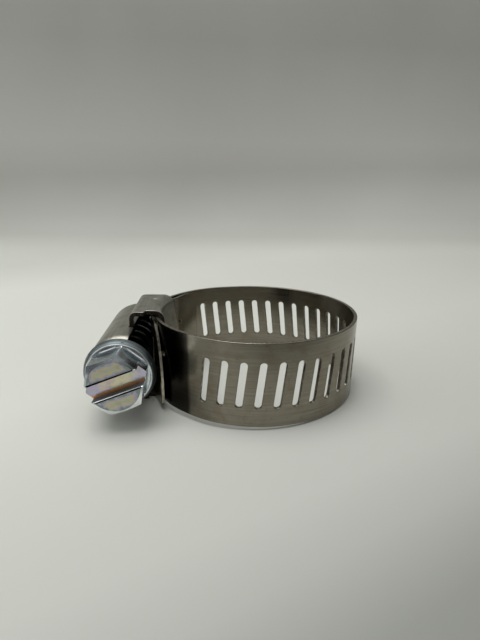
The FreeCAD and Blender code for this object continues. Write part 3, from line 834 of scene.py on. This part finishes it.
def build_band():
    """The tongue, the seated stretch, eight stretches of the ring and the tail, from one tree."""
    scene = bpy.context.scene
    curve = bpy.data.curves.new("band_path", "CURVE")
    curve.dimensions = "3D"
    line = curve.splines.new("POLY")
    line.points.add(len(PATH) - 1)
    for point, place in zip(line.points, PATH):
        point.co = (*(place * MM), 1)
    path = bpy.data.objects.new("band_path", curve)
    host = bpy.data.objects.new("band_host", bpy.data.meshes.new("band_host"))
    cell = slotted_cell()
    last = int((length_at(TAIL_END) - TAIL_PLAIN_LENGTH - slot_length(0)) // SLOT_PITCH)
    ends = {"web": web_flat(), "tail": tail_flat(last + 0.5), "tongue": tongue_flat(),
            "seated": seated_flat()}
    helpers = [path, host, cell] + list(ends.values())
    for helper in helpers:
        scene.collection.objects.link(helper)
    tree = band_tree()

    def stretch(name, low, high, end=None):
        """Strip between two webs, with an end piece or without, or an end piece by itself."""
        values = {"Path": path, "Pitch": SLOT_PITCH * MM, "Material": strip_steel}
        if low is None:
            values.update({"Cell": ends[end], "First": 0.0, "Count": 1})
        else:
            values.update({"Cell": cell, "First": slot_length(low + 0.5) * MM,
                           "Count": round(high - low)})
            if end:
                values["End piece"] = ends[end]
        mesh = grown(host, tree, values)
        mesh.materials.clear()
        for steel in (strip_steel, sheared_edge, tail_end_highlight):
            mesh.materials.append(steel)
        for polygon, mark in zip(mesh.polygons, mesh.attributes["cut"].data):
            polygon.material_index = mark.value
            # the tail's end face gets the painted highlight
            if (end == "tail" and mark.value and polygon.center.y < TAIL_CUT_Y * MM
                    and abs(polygon.center.z) < TAIL_CUT_HALF_WIDTH * MM):
                polygon.material_index = 2
        spring_out(mesh)
        finish_mesh(mesh)
        return piece(name, mesh)

    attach(stretch("band_tongue", None, None, "tongue"), "root")
    cuts = [25.5, 21.5, 18.5, 14.5, 11.5, 7.5, 4.5, 0.5, -2.5]
    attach(stretch("band_tail", cuts[0], last + 0.5, "tail"), "free_end")
    for index in range(8):
        high, low = cuts[index], cuts[index + 1]
        if low > 0:
            made = stretch("band_bend_%d" % (index + 1), low, high)
        else:
            made = stretch("band_bend_%d" % (index + 1), -0.5, high, "web")
        path_point(high)
        path_point(low)
        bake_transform(made)
        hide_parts("band_link_%d" % (index + 1))
    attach(stretch("band_seated", None, None, "seated"), "link_8")
    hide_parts("band_fixed_end")
    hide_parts("band_free_end")
    for helper in helpers:
        bpy.data.objects.remove(helper)


# ---------------------------------------------------------------- housing
def arch_point(angle, radius, y):
    """Point on the tunnel. The angle runs from the side away from the ring towards the top."""
    a = math.radians(angle)
    return Vector((SCREW_X - radius * math.cos(a), y, radius * math.sin(a)))


def seat_x(radius, y):
    """Where a circle about the seat's centre lies, on the housing's side."""
    return -SEAT_OFFSET - math.sqrt(radius ** 2 - y ** 2)


def tunnel_stations():
    """(radius, y) down the tunnel's outside, from its lip to the hole in its back end."""
    stations = [(r, TUNNEL_FRONT) for r in spread(LIP_RADIUS, TUNNEL_RADIUS - TUNNEL_ROUND, 4)]
    for i in range(1, 5):
        a = math.radians(22.5 * i)
        stations.append((TUNNEL_RADIUS - TUNNEL_ROUND * (1 - math.sin(a)),
                         TUNNEL_FRONT + TUNNEL_ROUND * (1 - math.cos(a))))
    # closer together over the dimple
    low, high = DIMPLE_SPAN
    straight = steps_between([TUNNEL_FRONT + TUNNEL_ROUND, STRAP_FRONT, STRAP_FRONT + NOTCH_DEPTH,
                              low, high, STRAP_BACK, TUNNEL_BACK - TUNNEL_BEND], 0.6)
    fine = [y for y in straight if not low < y < high] + spread(low, high, 12)[1:-1]
    stations += [(TUNNEL_RADIUS, y) for y in sorted(fine)[1:]]
    for i in range(1, 11):
        a = math.radians(9 * i)
        stations.append((TUNNEL_RADIUS - TUNNEL_BEND * (1 - math.cos(a)),
                         TUNNEL_BACK - TUNNEL_BEND * (1 - math.sin(a))))
    return stations + [(r, TUNNEL_BACK) for r in (2.3, 1.75, TUNNEL_HOLE)]


def housing_mesh():
    """Outer face of the sheet: the tunnel, then on either side of it a riser, the plate of an
    ear, the fold and the flap."""
    lift = RISER_X - CREASE_RADIUS
    crease_angle = 90 + math.degrees(math.asin((lift - SCREW_X) / (TUNNEL_RADIUS + CREASE_RADIUS)))
    centre_z = math.sqrt((TUNNEL_RADIUS + CREASE_RADIUS) ** 2 - (lift - SCREW_X) ** 2)
    stations = tunnel_stations()
    inside = [i for i, (r, y) in enumerate(stations)
              if r == TUNNEL_RADIUS and STRAP_FRONT - 1e-6 <= y <= STRAP_BACK + 1e-6]
    first, last = inside[0], inside[-1]
    bm = bmesh.new()
    arch = {}
    angles = spread(-crease_angle, crease_angle, 48)
    for s, (radius, y) in enumerate(stations):
        for k, angle in enumerate(angles):
            arch[s, k] = bm.verts.new(arch_point(angle, radius, y) * MM)
    for s in range(len(stations) - 1):
        for k in range(len(angles) - 1):
            bm.faces.new([arch[s, k], arch[s + 1, k], arch[s + 1, k + 1], arch[s, k + 1]])

    for side in (1, -1):
        edge = len(angles) - 1 if side > 0 else 0
        # the tunnel's own rim, before and behind the ears
        for low, high, cover in ((0, first, TUNNEL_COVER[0]),
                                 (last, len(stations) - 1, TUNNEL_COVER[1])):
            rim = {}
            for s in range(low, high + 1):
                radius, y = stations[s]
                rim[s, 0] = arch[s, edge]
                for k in range(1, 4):
                    angle = crease_angle + (cover - crease_angle) * k / 3
                    rim[s, k] = bm.verts.new(arch_point(side * angle, radius, y) * MM)
            for s in range(low, high):
                for k in range(3):
                    corners = [rim[s, k], rim[s + 1, k], rim[s + 1, k + 1], rim[s, k + 1]]
                    bm.faces.new(corners if side > 0 else corners[::-1])
        # the ear: crease, riser, shoulder, plate, fold and flap
        previous = {s: arch[s, edge] for s in range(first, last + 1)}
        columns = []
        start = math.radians(90 - crease_angle)
        for i in range(1, 6):
            # from the tangent point on the tunnel to the tangent point on the riser
            a = -math.pi / 2 - start + (math.pi / 2 + start) * i / 5
            columns.append(("line", lift + CREASE_RADIUS * math.cos(a),
                            centre_z + CREASE_RADIUS * math.sin(a)))
        top = STRAP_HEIGHT - SHOULDER_RADIUS
        for z in spread(centre_z, top, 2)[1:]:
            columns.append(("line", RISER_X, z))
        for i in range(1, 9):
            a = math.radians(90 * i / 8)
            columns.append(("line", RISER_X + SHOULDER_RADIUS * (1 - math.cos(a)),
                            top + SHOULDER_RADIUS * math.sin(a)))
        for i in range(1, 19):
            columns.append(("plate", i / 18, STRAP_HEIGHT))
        for i in range(1, 8):
            a = math.radians(90 * i / 7)
            columns.append(("fold", EAR_INNER_RADIUS + FOLD_RADIUS * (1 - math.sin(a)),
                            STRAP_HEIGHT - FOLD_RADIUS * (1 - math.cos(a))))
        for z in spread(STRAP_HEIGHT - FOLD_RADIUS, EAR_SEAM / 2, 14)[1:]:
            columns.append(("fold", EAR_INNER_RADIUS, z))
        for kind, a, z in columns:
            current = {}
            for s in range(first, last + 1):
                t = (stations[s][1] - STRAP_FRONT) / (STRAP_BACK - STRAP_FRONT)
                front, back = STRAP_FRONT, STRAP_BACK
                if kind == "plate":
                    # the notch in its front edge starts about halfway along
                    front += NOTCH_DEPTH * smooth(a, 0.42, 0.50)
                if kind == "fold":
                    flare = max(EAR_FLARE * (1 - z / (STRAP_HEIGHT - SHEET)), 0)
                    front += NOTCH_DEPTH - flare
                    back += flare
                y = front + t * (back - front)
                if kind == "line":
                    x = a
                elif kind == "plate":
                    inner = RISER_X + SHOULDER_RADIUS
                    x = inner + a * (seat_x(EAR_INNER_RADIUS + FOLD_RADIUS, y) - inner)
                else:
                    x = seat_x(a, y)
                height = z
                if side > 0 and kind == "plate":
                    away = math.hypot(x - DIMPLE[0], y - DIMPLE[1]) / DIMPLE_RADIUS
                    if away < 1:
                        height -= DIMPLE_DEPTH * (1 - away ** 2) ** 2
                current[s] = bm.verts.new(Vector((x, y, side * height)) * MM)
            for s in range(first, last):
                corners = [previous[s], previous[s + 1], current[s + 1], current[s]]
                bm.faces.new(corners if side > 0 else corners[::-1])
            previous = current
    bmesh.ops.reverse_faces(bm, faces=bm.faces)
    for face in bm.faces:
        face.smooth = True
    mesh = bpy.data.meshes.new("housing_sheet")
    bm.to_mesh(mesh)
    bm.free()
    return mesh


def with_modifiers(mesh, modifiers):
    """The plain mesh that a stack of modifiers makes of a mesh."""
    obj = bpy.data.objects.new("shaping", mesh)
    bpy.context.scene.collection.objects.link(obj)
    for kind, settings in modifiers:
        made = obj.modifiers.new(kind.lower(), kind)
        for name, value in settings.items():
            setattr(made, name, value)
    out = evaluated_mesh(obj)
    bpy.data.objects.remove(obj)
    return out


def build_housing():
    """One sheet with its thickness, and its edges slightly rounded by the tools."""
    mesh = housing_mesh()
    # the sheet's inner face gets inner_steel, painted shade for the inside of the housing
    for steel in (housing_steel, torn_edge, inner_steel):
        mesh.materials.append(steel)
    solid = with_modifiers(mesh, [
        ("SOLIDIFY", {"thickness": SHEET * MM, "offset": -1.0, "use_even_offset": True,
                      "material_offset": 2, "material_offset_rim": 1}),
        ("BEVEL", {"width": SHEET_EDGE_ROUND * MM, "segments": 3, "limit_method": "ANGLE",
                   "angle_limit": math.radians(50), "harden_normals": True}),
    ])
    made = piece("housing_shell", solid)
    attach(made, "root")
    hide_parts("housing")


# ---------------------------------------------------------------- worm screw
def hex_outline():
    """(x, z) corners of the rounded hexagon about the screw axis, with points exactly where
    the driver slot meets it."""
    apothem = HEX_FLATS / 2
    half_turn = math.radians(30)
    centre = (apothem - HEX_CORNER) / math.cos(half_turn)
    limit = math.atan2(HEX_CORNER * math.sin(half_turn), centre + HEX_CORNER * math.cos(half_turn))

    def radius(angle):
        folded = (angle - HEX_TURN) % 60
        corner = math.radians(min(folded, 60 - folded))
        if corner < limit:
            off = centre * math.sin(corner)
            return centre * math.cos(corner) + math.sqrt(HEX_CORNER ** 2 - off ** 2)
        return apothem / math.cos(half_turn - corner)

    angles = set()
    for side in range(6):
        base = HEX_TURN + 60 * side
        for step in (-3.0, -2.0, -1.3, -0.65, 0, 0.65, 1.3, 2.0, 3.0, 6, 10, 15, 20, 25, 30, 35, 40,
                     45, 50, 54):
            angles.add(round((base + step) % 360, 6))
    # where the two walls of the driver slot come out
    for wall in (1, -1):
        for way in (1, -1):
            guess = DRIVE_TURN + (0 if way > 0 else 180)
            low, high = guess - 40, guess + 40
            for _ in range(60):
                middle = (low + high) / 2
                off = radius(middle) * math.sin(math.radians(middle - DRIVE_TURN))
                target = wall * DRIVE_WIDTH / 2
                if (off > target) == (way > 0):
                    high = middle
                else:
                    low = middle
            angles.add(round(middle % 360, 6))
    ordered = sorted(angles)
    keep = [a for i, a in enumerate(ordered) if i == 0 or a - ordered[i - 1] > 0.05]
    return [(radius(a) * math.cos(math.radians(a)), radius(a) * math.sin(math.radians(a)))
            for a in keep]


def head_mesh():
    """Slotted hexagon: a turned chamfer, two face plates and the driver slot between them."""
    c, s = math.cos(math.radians(DRIVE_TURN)), math.sin(math.radians(DRIVE_TURN))
    slope = (HEX_FLATS / math.sqrt(3) - CHAMFER_RADIUS) / CHAMFER_HEIGHT
    floor = HEAD_FACE + DRIVE_DEPTH
    foot = COLLAR_FRONT + COLLAR_DISH + 0.1
    half = DRIVE_WIDTH / 2
    # turned so that the driver slot lies along the first axis
    turned = [(x * c + z * s, z * c - x * s) for x, z in hex_outline()]
    bm = bmesh.new()

    def vert(u, v, y):
        return bm.verts.new((SCREW_X + u * c - v * s, y, u * s + v * c))

    def strip_between(low, high):
        for i in range(len(low)):
            j = (i + 1) % len(low)
            bm.faces.new([low[i], low[j], high[j], high[i]])

    for side in (1, -1):
        rim = [(u, v) for u, v in turned if side * v >= half - 1e-4]
        # start the run right after the gap, so that it goes round without a break
        split = max(range(len(rim)), key=lambda i: math.dist(rim[i - 1], rim[i]))
        rim = rim[split:] + rim[:split]
        rim[0] = (rim[0][0], side * half)
        rim[-1] = (rim[-1][0], side * half)
        back = [(u, side * half) for u in spread(rim[-1][0], rim[0][0], 24)[1:-1]]
        loop = [(u, v, False) for u, v in rim] + [(u, v, True) for u, v in back]
        last = len(rim) - 1

        def level(share):
            """Ring of the softened top edge: share 0 is the wall, 1 the face."""
            ring = []
            for i, (u, v, is_wall) in enumerate(loop):
                radius = math.hypot(u, v)
                y = HEAD_FACE + FACE_SOFTNESS * (1 - math.sin(share * math.pi / 2))
                inward = FACE_SOFTNESS * (1 - math.cos(share * math.pi / 2))
                if is_wall or i in (0, last):
                    v += side * inward
                if not is_wall:
                    drop = max(radius - CHAMFER_RADIUS, 0) / slope
                    y = HEAD_FACE + drop * (1 - share)
                    shrink = 1 + (CHAMFER_RADIUS / radius - 1) * share
                    u, v = u * shrink, (v * shrink if i not in (0, last) else v)
                elif radius > CHAMFER_RADIUS:
                    drop = (radius - CHAMFER_RADIUS) / slope
                    y = max(y, HEAD_FACE + drop * (1 - share))
                    u *= 1 + (CHAMFER_RADIUS / radius - 1) * share
                ring.append(vert(u, v, y))
            return ring

        rings = [level(share) for share in (0, 0.33, 0.67, 1)]
        base = [vert(u, v, floor) for u, v, _ in loop]
        strip_between(base, rings[0])
        for a, b in zip(rings, rings[1:]):
            strip_between(a, b)
        bm.faces.new(rings[-1])
    # body under the slot's floor
    top = [vert(u, v, floor) for u, v in turned]
    lower = top
    for step in range(6):
        bend = math.radians(18 * step)
        out = FOOT_FILLET * (1 - math.cos(bend))
        y = COLLAR_FRONT + COLLAR_DISH - FOOT_FILLET * (1 - math.sin(bend))
        ring = []
        for u, v in turned:
            swell = 1 + out / math.hypot(u, v)
            ring.append(vert(u * swell, v * swell, y))
        strip_between(ring, lower)
        lower = ring
    bottom = [vert(u, v, foot) for u, v in turned]
    strip_between(bottom, lower)
    gap = [i for i, (u, v) in enumerate(turned) if abs(v) <= half + 1e-4]
    right = sorted((i for i in gap if turned[i][0] > 0), key=lambda i: turned[i][1])
    left = sorted((i for i in gap if turned[i][0] < 0), key=lambda i: -turned[i][1])
    corners = []
    for here, there, v in ((right, left, half), (left, right, -half)):
        corners += [top[i] for i in here]
        run = spread(turned[here[-1]][0], turned[there[0]][0], 24)[1:-1]
        corners += [vert(u, v, floor) for u in run]
    bm.faces.new(corners)
    bm.faces.new(bottom)
    for v in bm.verts:
        v.co *= MM
    return bm


def rounded_profile(corners, steps=5):
    """(radius, y) line through (radius, y, rounding) corners."""
    line = []
    for i, (r, y, bend) in enumerate(corners):
        if bend == 0 or i in (0, len(corners) - 1):
            line.append((r, y))
            continue
        here = Vector((r, y))
        back = (Vector(corners[i - 1][:2]) - here).normalized()
        on = (Vector(corners[i + 1][:2]) - here).normalized()
        half = back.angle(on) / 2
        reach = bend / math.tan(half)
        centre = here + (back + on).normalized() * (bend / math.sin(half))
        a, b = here + back * reach - centre, here + on * reach - centre
        sweep = a.angle_signed(b)
        for k in range(steps + 1):
            turn = Matrix.Rotation(-sweep * k / steps, 2)
            p = centre + turn @ a
            line.append((p.x, p.y))
    return line


def lathe(bm, line, count=112):
    """Surface of revolution about the screw axis. A radius of 0 is a pole."""
    rings = []
    for radius, y in line:
        if radius < 1e-6:
            rings.append([bm.verts.new((SCREW_X * MM, y * MM, 0))])
            continue
        ring = []
        for k in range(count):
            a = 2 * math.pi * k / count
            x, z = SCREW_X + radius * math.cos(a), radius * math.sin(a)
            ring.append(bm.verts.new((x * MM, y * MM, z * MM)))
        rings.append(ring)
    for low, high in zip(rings, rings[1:]):
        for k in range(count):
            j = (k + 1) % count
            if len(low) == 1:
                bm.faces.new([low[0], high[j], high[k]])
            elif len(high) == 1:
                bm.faces.new([low[k], low[j], high[0]])
            else:
                bm.faces.new([low[k], low[j], high[j], high[k]])


def thread_tree():
    """Geometry Nodes: a ridge wound on the worm's core, running out at both ends."""
    tree = bpy.data.node_groups.new("wound_thread", "GeometryNodeTree")
    face = tree.interface
    for name in ("Pitch", "Root radius", "Depth", "Crest", "Root", "Turns"):
        face.new_socket(name, in_out="INPUT", socket_type="NodeSocketFloat")
    face.new_socket("Material", in_out="INPUT", socket_type="NodeSocketMaterial")
    face.new_socket("Geometry", in_out="OUTPUT", socket_type="NodeSocketGeometry")
    sizes = node(tree, "NodeGroupInput").outputs
    height = node(tree, "ShaderNodeMath", {0: sizes["Pitch"], 1: sizes["Turns"]}, operation="MULTIPLY")
    spiral = node(tree, "GeometryNodeCurveSpiral", {
        "Resolution": 72, "Rotations": sizes["Turns"], "Start Radius": sizes["Root radius"],
        "End Radius": sizes["Root radius"], "Height": height})
    upright = node(tree, "GeometryNodeSetCurveNormal", {"Curve": spiral}, mode="Z_UP")
    # the ridge swells over the first share of its length and dies away over the last
    share = node(tree, "GeometryNodeSplineParameter").outputs["Factor"]
    run_in = node(tree, "ShaderNodeMapRange", {
        "Value": share, "From Max": THREAD_RUN, "To Min": 0.02}, interpolation_type="SMOOTHSTEP")
    run_out = node(tree, "ShaderNodeMapRange", {
        "Value": share, "From Min": 1.0, "From Max": 1 - THREAD_RUN, "To Min": 0.02},
                   interpolation_type="SMOOTHSTEP")
    swell = node(tree, "ShaderNodeMath", {0: run_in, 1: run_out}, operation="MULTIPLY")
    shaped = node(tree, "GeometryNodeSetCurveRadius", {"Curve": upright, "Radius": swell})
    out = node(tree, "ShaderNodeMath", {0: sizes["Depth"], 1: -1.0}, operation="MULTIPLY")
    corners = {}
    for number, x, width, half in ((1, THREAD_SUNK * MM, "Root", 0.5), (2, out, "Crest", 0.5),
                                   (3, out, "Crest", -0.5), (4, THREAD_SUNK * MM, "Root", -0.5)):
        y = node(tree, "ShaderNodeMath", {0: sizes[width], 1: half}, operation="MULTIPLY")
        corners["Point %d" % number] = node(tree, "ShaderNodeCombineXYZ", {"X": x, "Y": y})
    profile = node(tree, "GeometryNodeCurvePrimitiveQuadrilateral", corners, mode="POINTS")
    ridge = node(tree, "GeometryNodeCurveToMesh", {
        "Curve": shaped, "Profile Curve": profile, "Fill Caps": True})
    real = node(tree, "GeometryNodeRealizeInstances", {"Geometry": ridge})
    painted = node(tree, "GeometryNodeSetMaterial", {"Geometry": real, "Material": sizes["Material"]})
    node(tree, "NodeGroupOutput", {"Geometry": painted})
    return tree


def build_screw():
    """The head, then the collar, neck and core in one turned piece, then the thread."""
    head = head_mesh()
    bmesh.ops.remove_doubles(head, verts=head.verts, dist=0.003 * MM)
    mesh = bpy.data.meshes.new("screw_head")
    head.to_mesh(mesh)
    head.free()
    mesh.materials.append(zinc_plate)
    finish_mesh(mesh, 22)
    solid = with_modifiers(mesh, [("WEIGHTED_NORMAL", {"keep_sharp": True})])
    made = piece("screw_head", solid)
    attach(made, "screw")

    dish = COLLAR_FRONT + COLLAR_DISH
    collar_back = TUNNEL_FRONT - 0.08
    line = rounded_profile([
        (0, dish, 0),
        (COLLAR_RADIUS - COLLAR_RIM - 0.22, dish, 0.15),
        (COLLAR_RADIUS - COLLAR_RIM, COLLAR_FRONT, 0.10),
        (COLLAR_RADIUS - 0.22, COLLAR_FRONT + 0.42, 0.9),  # the front edge is well rounded
        (COLLAR_RADIUS, COLLAR_FRONT + COLLAR_CYLINDER, 0.3),
        (COLLAR_BACK_RADIUS, collar_back, 0.1),
        (NECK_RADIUS, collar_back, 0.05),
        (NECK_RADIUS, THREAD_START, 0.05),
        (ROOT_RADIUS, THREAD_START, 0.05),
        (ROOT_RADIUS, THREAD_END, 0.08),
        (TIP_RADIUS, THREAD_END, 0.05),
        (TIP_RADIUS, TIP_END, 0.15),
        (0, TIP_END, 0),
    ])
    bm = bmesh.new()
    lathe(bm, line)
    mesh = bpy.data.meshes.new("screw_collar")
    bm.to_mesh(mesh)
    bm.free()
    mesh.materials.append(zinc_plate)
    # the core behind the collar gets worm_steel, painted shade for inside the tunnel
    mesh.materials.append(worm_steel)
    for polygon in mesh.polygons:
        polygon.material_index = int(polygon.center.y > collar_back * MM - 1e-6)
    finish_mesh(mesh, 30)
    made = piece("screw_collar_and_core", mesh)
    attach(made, "screw")
    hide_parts("worm_screw")

    host = bpy.data.objects.new("thread_host", bpy.data.meshes.new("thread_host"))
    bpy.context.scene.collection.objects.link(host)
    length = THREAD_END - THREAD_START - 1.0
    # the thread gets worm_steel too, painted shade for inside the tunnel
    mesh = grown(host, thread_tree(), {
        "Pitch": SLOT_PITCH * MM, "Root radius": ROOT_RADIUS * MM,
        "Depth": (THREAD_RADIUS - ROOT_RADIUS) * MM, "Crest": THREAD_CREST * MM,
        "Root": THREAD_FOOT * MM, "Turns": length / SLOT_PITCH, "Material": worm_steel})
    bpy.data.objects.remove(host)
    start = THREAD_START + 0.5
    phase = 2 * math.pi * ((start - THREAD_CONTACT) / SLOT_PITCH % 1)
    # laid from +Z to +Y, its first point on +X, turned to that phase and mirrored: a spiral is
    # made left-handed, and a worm is right-handed
    lay = Matrix.Rotation(-math.pi / 2, 4, "X")
    turn = Matrix.Rotation(-phase, 4, "Y")
    mirror = Matrix.Diagonal((1, 1, -1, 1))
    mesh.transform(Matrix.Translation((SCREW_X * MM, start * MM, 0)) @ mirror @ turn @ lay)
    finish_mesh(mesh, 30)
    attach(piece("screw_thread", mesh), "screw")


build_band()
build_housing()
build_screw()


# ---------------------------------------------------------------- floor, light and camera
# The clamp stands on the lower edge of its housing and the far edge of its band, and so leans
# a little: the table is drawn leaning by as much instead. Millimetres of rise for each
# millimetre towards +X, and the place where the housing stands.
TABLE_LEAN = 0.0307
TABLE_X = -18.0


def plain_floor():
    """Matt pale paper: a table that curves up into a wall behind."""
    material, tree = new_material("pale_paper")
    place = node(tree, "ShaderNodeTexCoord").outputs["Object"]
    parts = node(tree, "ShaderNodeSeparateXYZ", {0: place}).outputs
    drift = node(tree, "ShaderNodeTexNoise", {"Vector": place, "Scale": 1 / (60 * MM), "Detail": 2})
    # its shade by height, from 10 mm below the ring's centre
    height = node(tree, "ShaderNodeMath", {0: parts["Z"], 1: 10.0, 2: 0.1}, operation="MULTIPLY_ADD")
    paper = node(tree, "ShaderNodeValToRGB", {"Fac": height}, [
        (0.0, "#d9dbd3"), (0.05, "#cfd1c9"), (0.10, "#bbbdb5"), (0.18, "#b7b8b1"), (0.51, "#c7c7c1"),
        (0.91, "#acaca6")])
    pale = node(tree, "ShaderNodeValToRGB", {"Fac": drift}, [(0.35, 0.0), (0.7, 0.20)])
    colour = node(tree, "ShaderNodeMix", {0: pale, 6: paper, 7: "#cdcec8"}, data_type="RGBA")
    # the light falls off over 240 mm towards the near right corner
    sideways = node(tree, "ShaderNodeMath", {0: parts["X"], 1: 0.5}, operation="MULTIPLY")
    nearer = node(tree, "ShaderNodeMath", {0: sideways, 1: parts["Y"]}, operation="SUBTRACT")
    far = node(tree, "ShaderNodeMath", {0: nearer, 1: 1 / 0.240, 2: 0.667}, operation="MULTIPLY_ADD")
    fall = node(tree, "ShaderNodeValToRGB", {"Fac": far}, [
        (0.0, 0.85), (0.22, 1.0), (0.615, 0.95), (0.748, 0.83), (0.80, 0.77), (0.84, 0.64),
        (0.88, 0.43), (0.92, 0.36)])
    shaded = node(tree, "ShaderNodeMix", {0: 1.0, 6: colour, 7: fall},
                  data_type="RGBA", blend_type="MULTIPLY")
    shader = node(tree, "ShaderNodeBsdfPrincipled", {
        "Base Color": shaded, "Roughness": 0.5, "Specular IOR Level": 0.25})
    node(tree, "ShaderNodeOutputMaterial", {"Surface": shader})
    # in metres: half the width, the near and far ends, the curve between table and wall, the top
    side, front, back, cove, top = 0.7, -0.35, 0.15, 0.035, 0.6
    rest_z = -(STRAP_HEIGHT + 0.02) * MM
    line = [(front, 0.0), (back - cove, 0.0)]
    for step in range(1, 13):
        bend = math.radians(7.5 * step)
        line.append((back - cove + cove * math.sin(bend), cove * (1 - math.cos(bend))))
    line.append((back, top))
    points = []
    for y, z in line:
        for x in (-side, side):
            points.append((x, y, z + rest_z + (x - TABLE_X * MM) * TABLE_LEAN))
    faces = [(2 * i, 2 * i + 1, 2 * i + 3, 2 * i + 2) for i in range(len(line) - 1)]
    mesh = bpy.data.meshes.new("floor")
    mesh.from_pydata(points, [], faces)
    for polygon in mesh.polygons:
        polygon.use_smooth = True
    mesh.materials.append(material)
    floor = bpy.data.objects.new("floor", mesh)
    bpy.context.scene.collection.objects.link(floor)


def area_light(name, place, target, size, power):
    """Rectangular lamp, in metres and watts, that faces a target."""
    light = bpy.data.lights.new(name, "AREA")
    light.shape = "RECTANGLE"
    light.size, light.size_y = size
    light.energy = power
    obj = bpy.data.objects.new(name, light)
    obj.location = place
    obj.rotation_euler = (Vector(target) - Vector(place)).to_track_quat("-Z", "Y").to_euler()
    bpy.context.scene.collection.objects.link(obj)


def studio_world():
    """Plain room: bright overhead, dimmer low down towards the front."""
    world = bpy.data.worlds.new("studio")
    bpy.context.scene.world = world
    world.use_nodes = True
    tree = world.node_tree
    tree.nodes.clear()
    way = node(tree, "ShaderNodeTexCoord").outputs["Generated"]
    parts = node(tree, "ShaderNodeSeparateXYZ", {0: way}).outputs
    # from 0 straight down to 1 straight up, and from 0 at the front to 1 at the back
    rise = node(tree, "ShaderNodeMath", {0: parts["Z"], 1: 0.5, 2: 0.5}, operation="MULTIPLY_ADD")
    depth = node(tree, "ShaderNodeMath", {0: parts["Y"], 1: 0.5, 2: 0.5}, operation="MULTIPLY_ADD")
    room = node(tree, "ShaderNodeValToRGB", {"Fac": rise}, [
        (0.0, 0.20), (0.48, 0.20), (0.56, 0.24), (0.72, 0.30), (0.82, 1.0), (1.0, 1.3)])
    shade = node(tree, "ShaderNodeValToRGB", {"Fac": depth}, [(0.0, 0.30), (0.45, 0.75), (1.0, 1.0)])
    lit = node(tree, "ShaderNodeMix", {0: 1.0, 6: room, 7: shade},
               data_type="RGBA", blend_type="MULTIPLY")
    wall = node(tree, "ShaderNodeValToRGB", {"Fac": rise}, [
        (0.40, "#d2d2d4"), (0.50, "#cfcfd1"), (0.56, "#d9d9da"), (0.75, "#e6e6e6")])
    inside = node(tree, "ShaderNodeBackground", {"Color": lit, "Strength": 1.0})
    behind = node(tree, "ShaderNodeBackground", {"Color": wall, "Strength": 1.0})
    seen = node(tree, "ShaderNodeLightPath").outputs["Is Camera Ray"]
    both = node(tree, "ShaderNodeMixShader", {0: seen, 1: inside, 2: behind})
    node(tree, "ShaderNodeOutputWorld", {"Surface": both})


# Where the camera stands, in millimetres, and how it is turned, in degrees.
CAMERA_PLACE = (-6.40, -73.18, 28.26)
CAMERA_YAW = 3.03
CAMERA_PITCH = 18.02
CAMERA_ROLL = 0.81


def studio_camera():
    """Close camera that looks along +Y and down, turned a little to the right."""
    camera = bpy.data.cameras.new("camera")
    camera.lens = 25.797
    camera.sensor_width = 36
    camera.sensor_fit = "AUTO"
    camera.clip_start = 0.002
    camera.clip_end = 20
    yaw, pitch, roll = (math.radians(a) for a in (CAMERA_YAW, CAMERA_PITCH, CAMERA_ROLL))
    level = math.cos(pitch)
    ahead = Vector((math.sin(yaw) * level, math.cos(yaw) * level, -math.sin(pitch)))
    side = ahead.cross(Vector((0, 0, 1))).normalized()
    above = side.cross(ahead)
    right = math.cos(roll) * side + math.sin(roll) * above
    up = -math.sin(roll) * side + math.cos(roll) * above
    obj = bpy.data.objects.new("camera", camera)
    basis = Matrix((right, up, -ahead)).transposed().to_4x4()
    obj.matrix_world = Matrix.Translation(Vector(CAMERA_PLACE) * MM) @ basis
    bpy.context.scene.collection.objects.link(obj)
    bpy.context.scene.camera = obj


plain_floor()
studio_world()
studio_camera()
area_light("overhead", (-0.10, 0.02, 0.42), (-0.01, 0.01, 0), (0.42, 0.30), 1.45)
area_light("left", (-0.35, -0.05, 0.20), (-0.01, 0, 0), (0.20, 0.20), 0.20)
bpy.context.scene.view_settings.view_transform = "Standard"
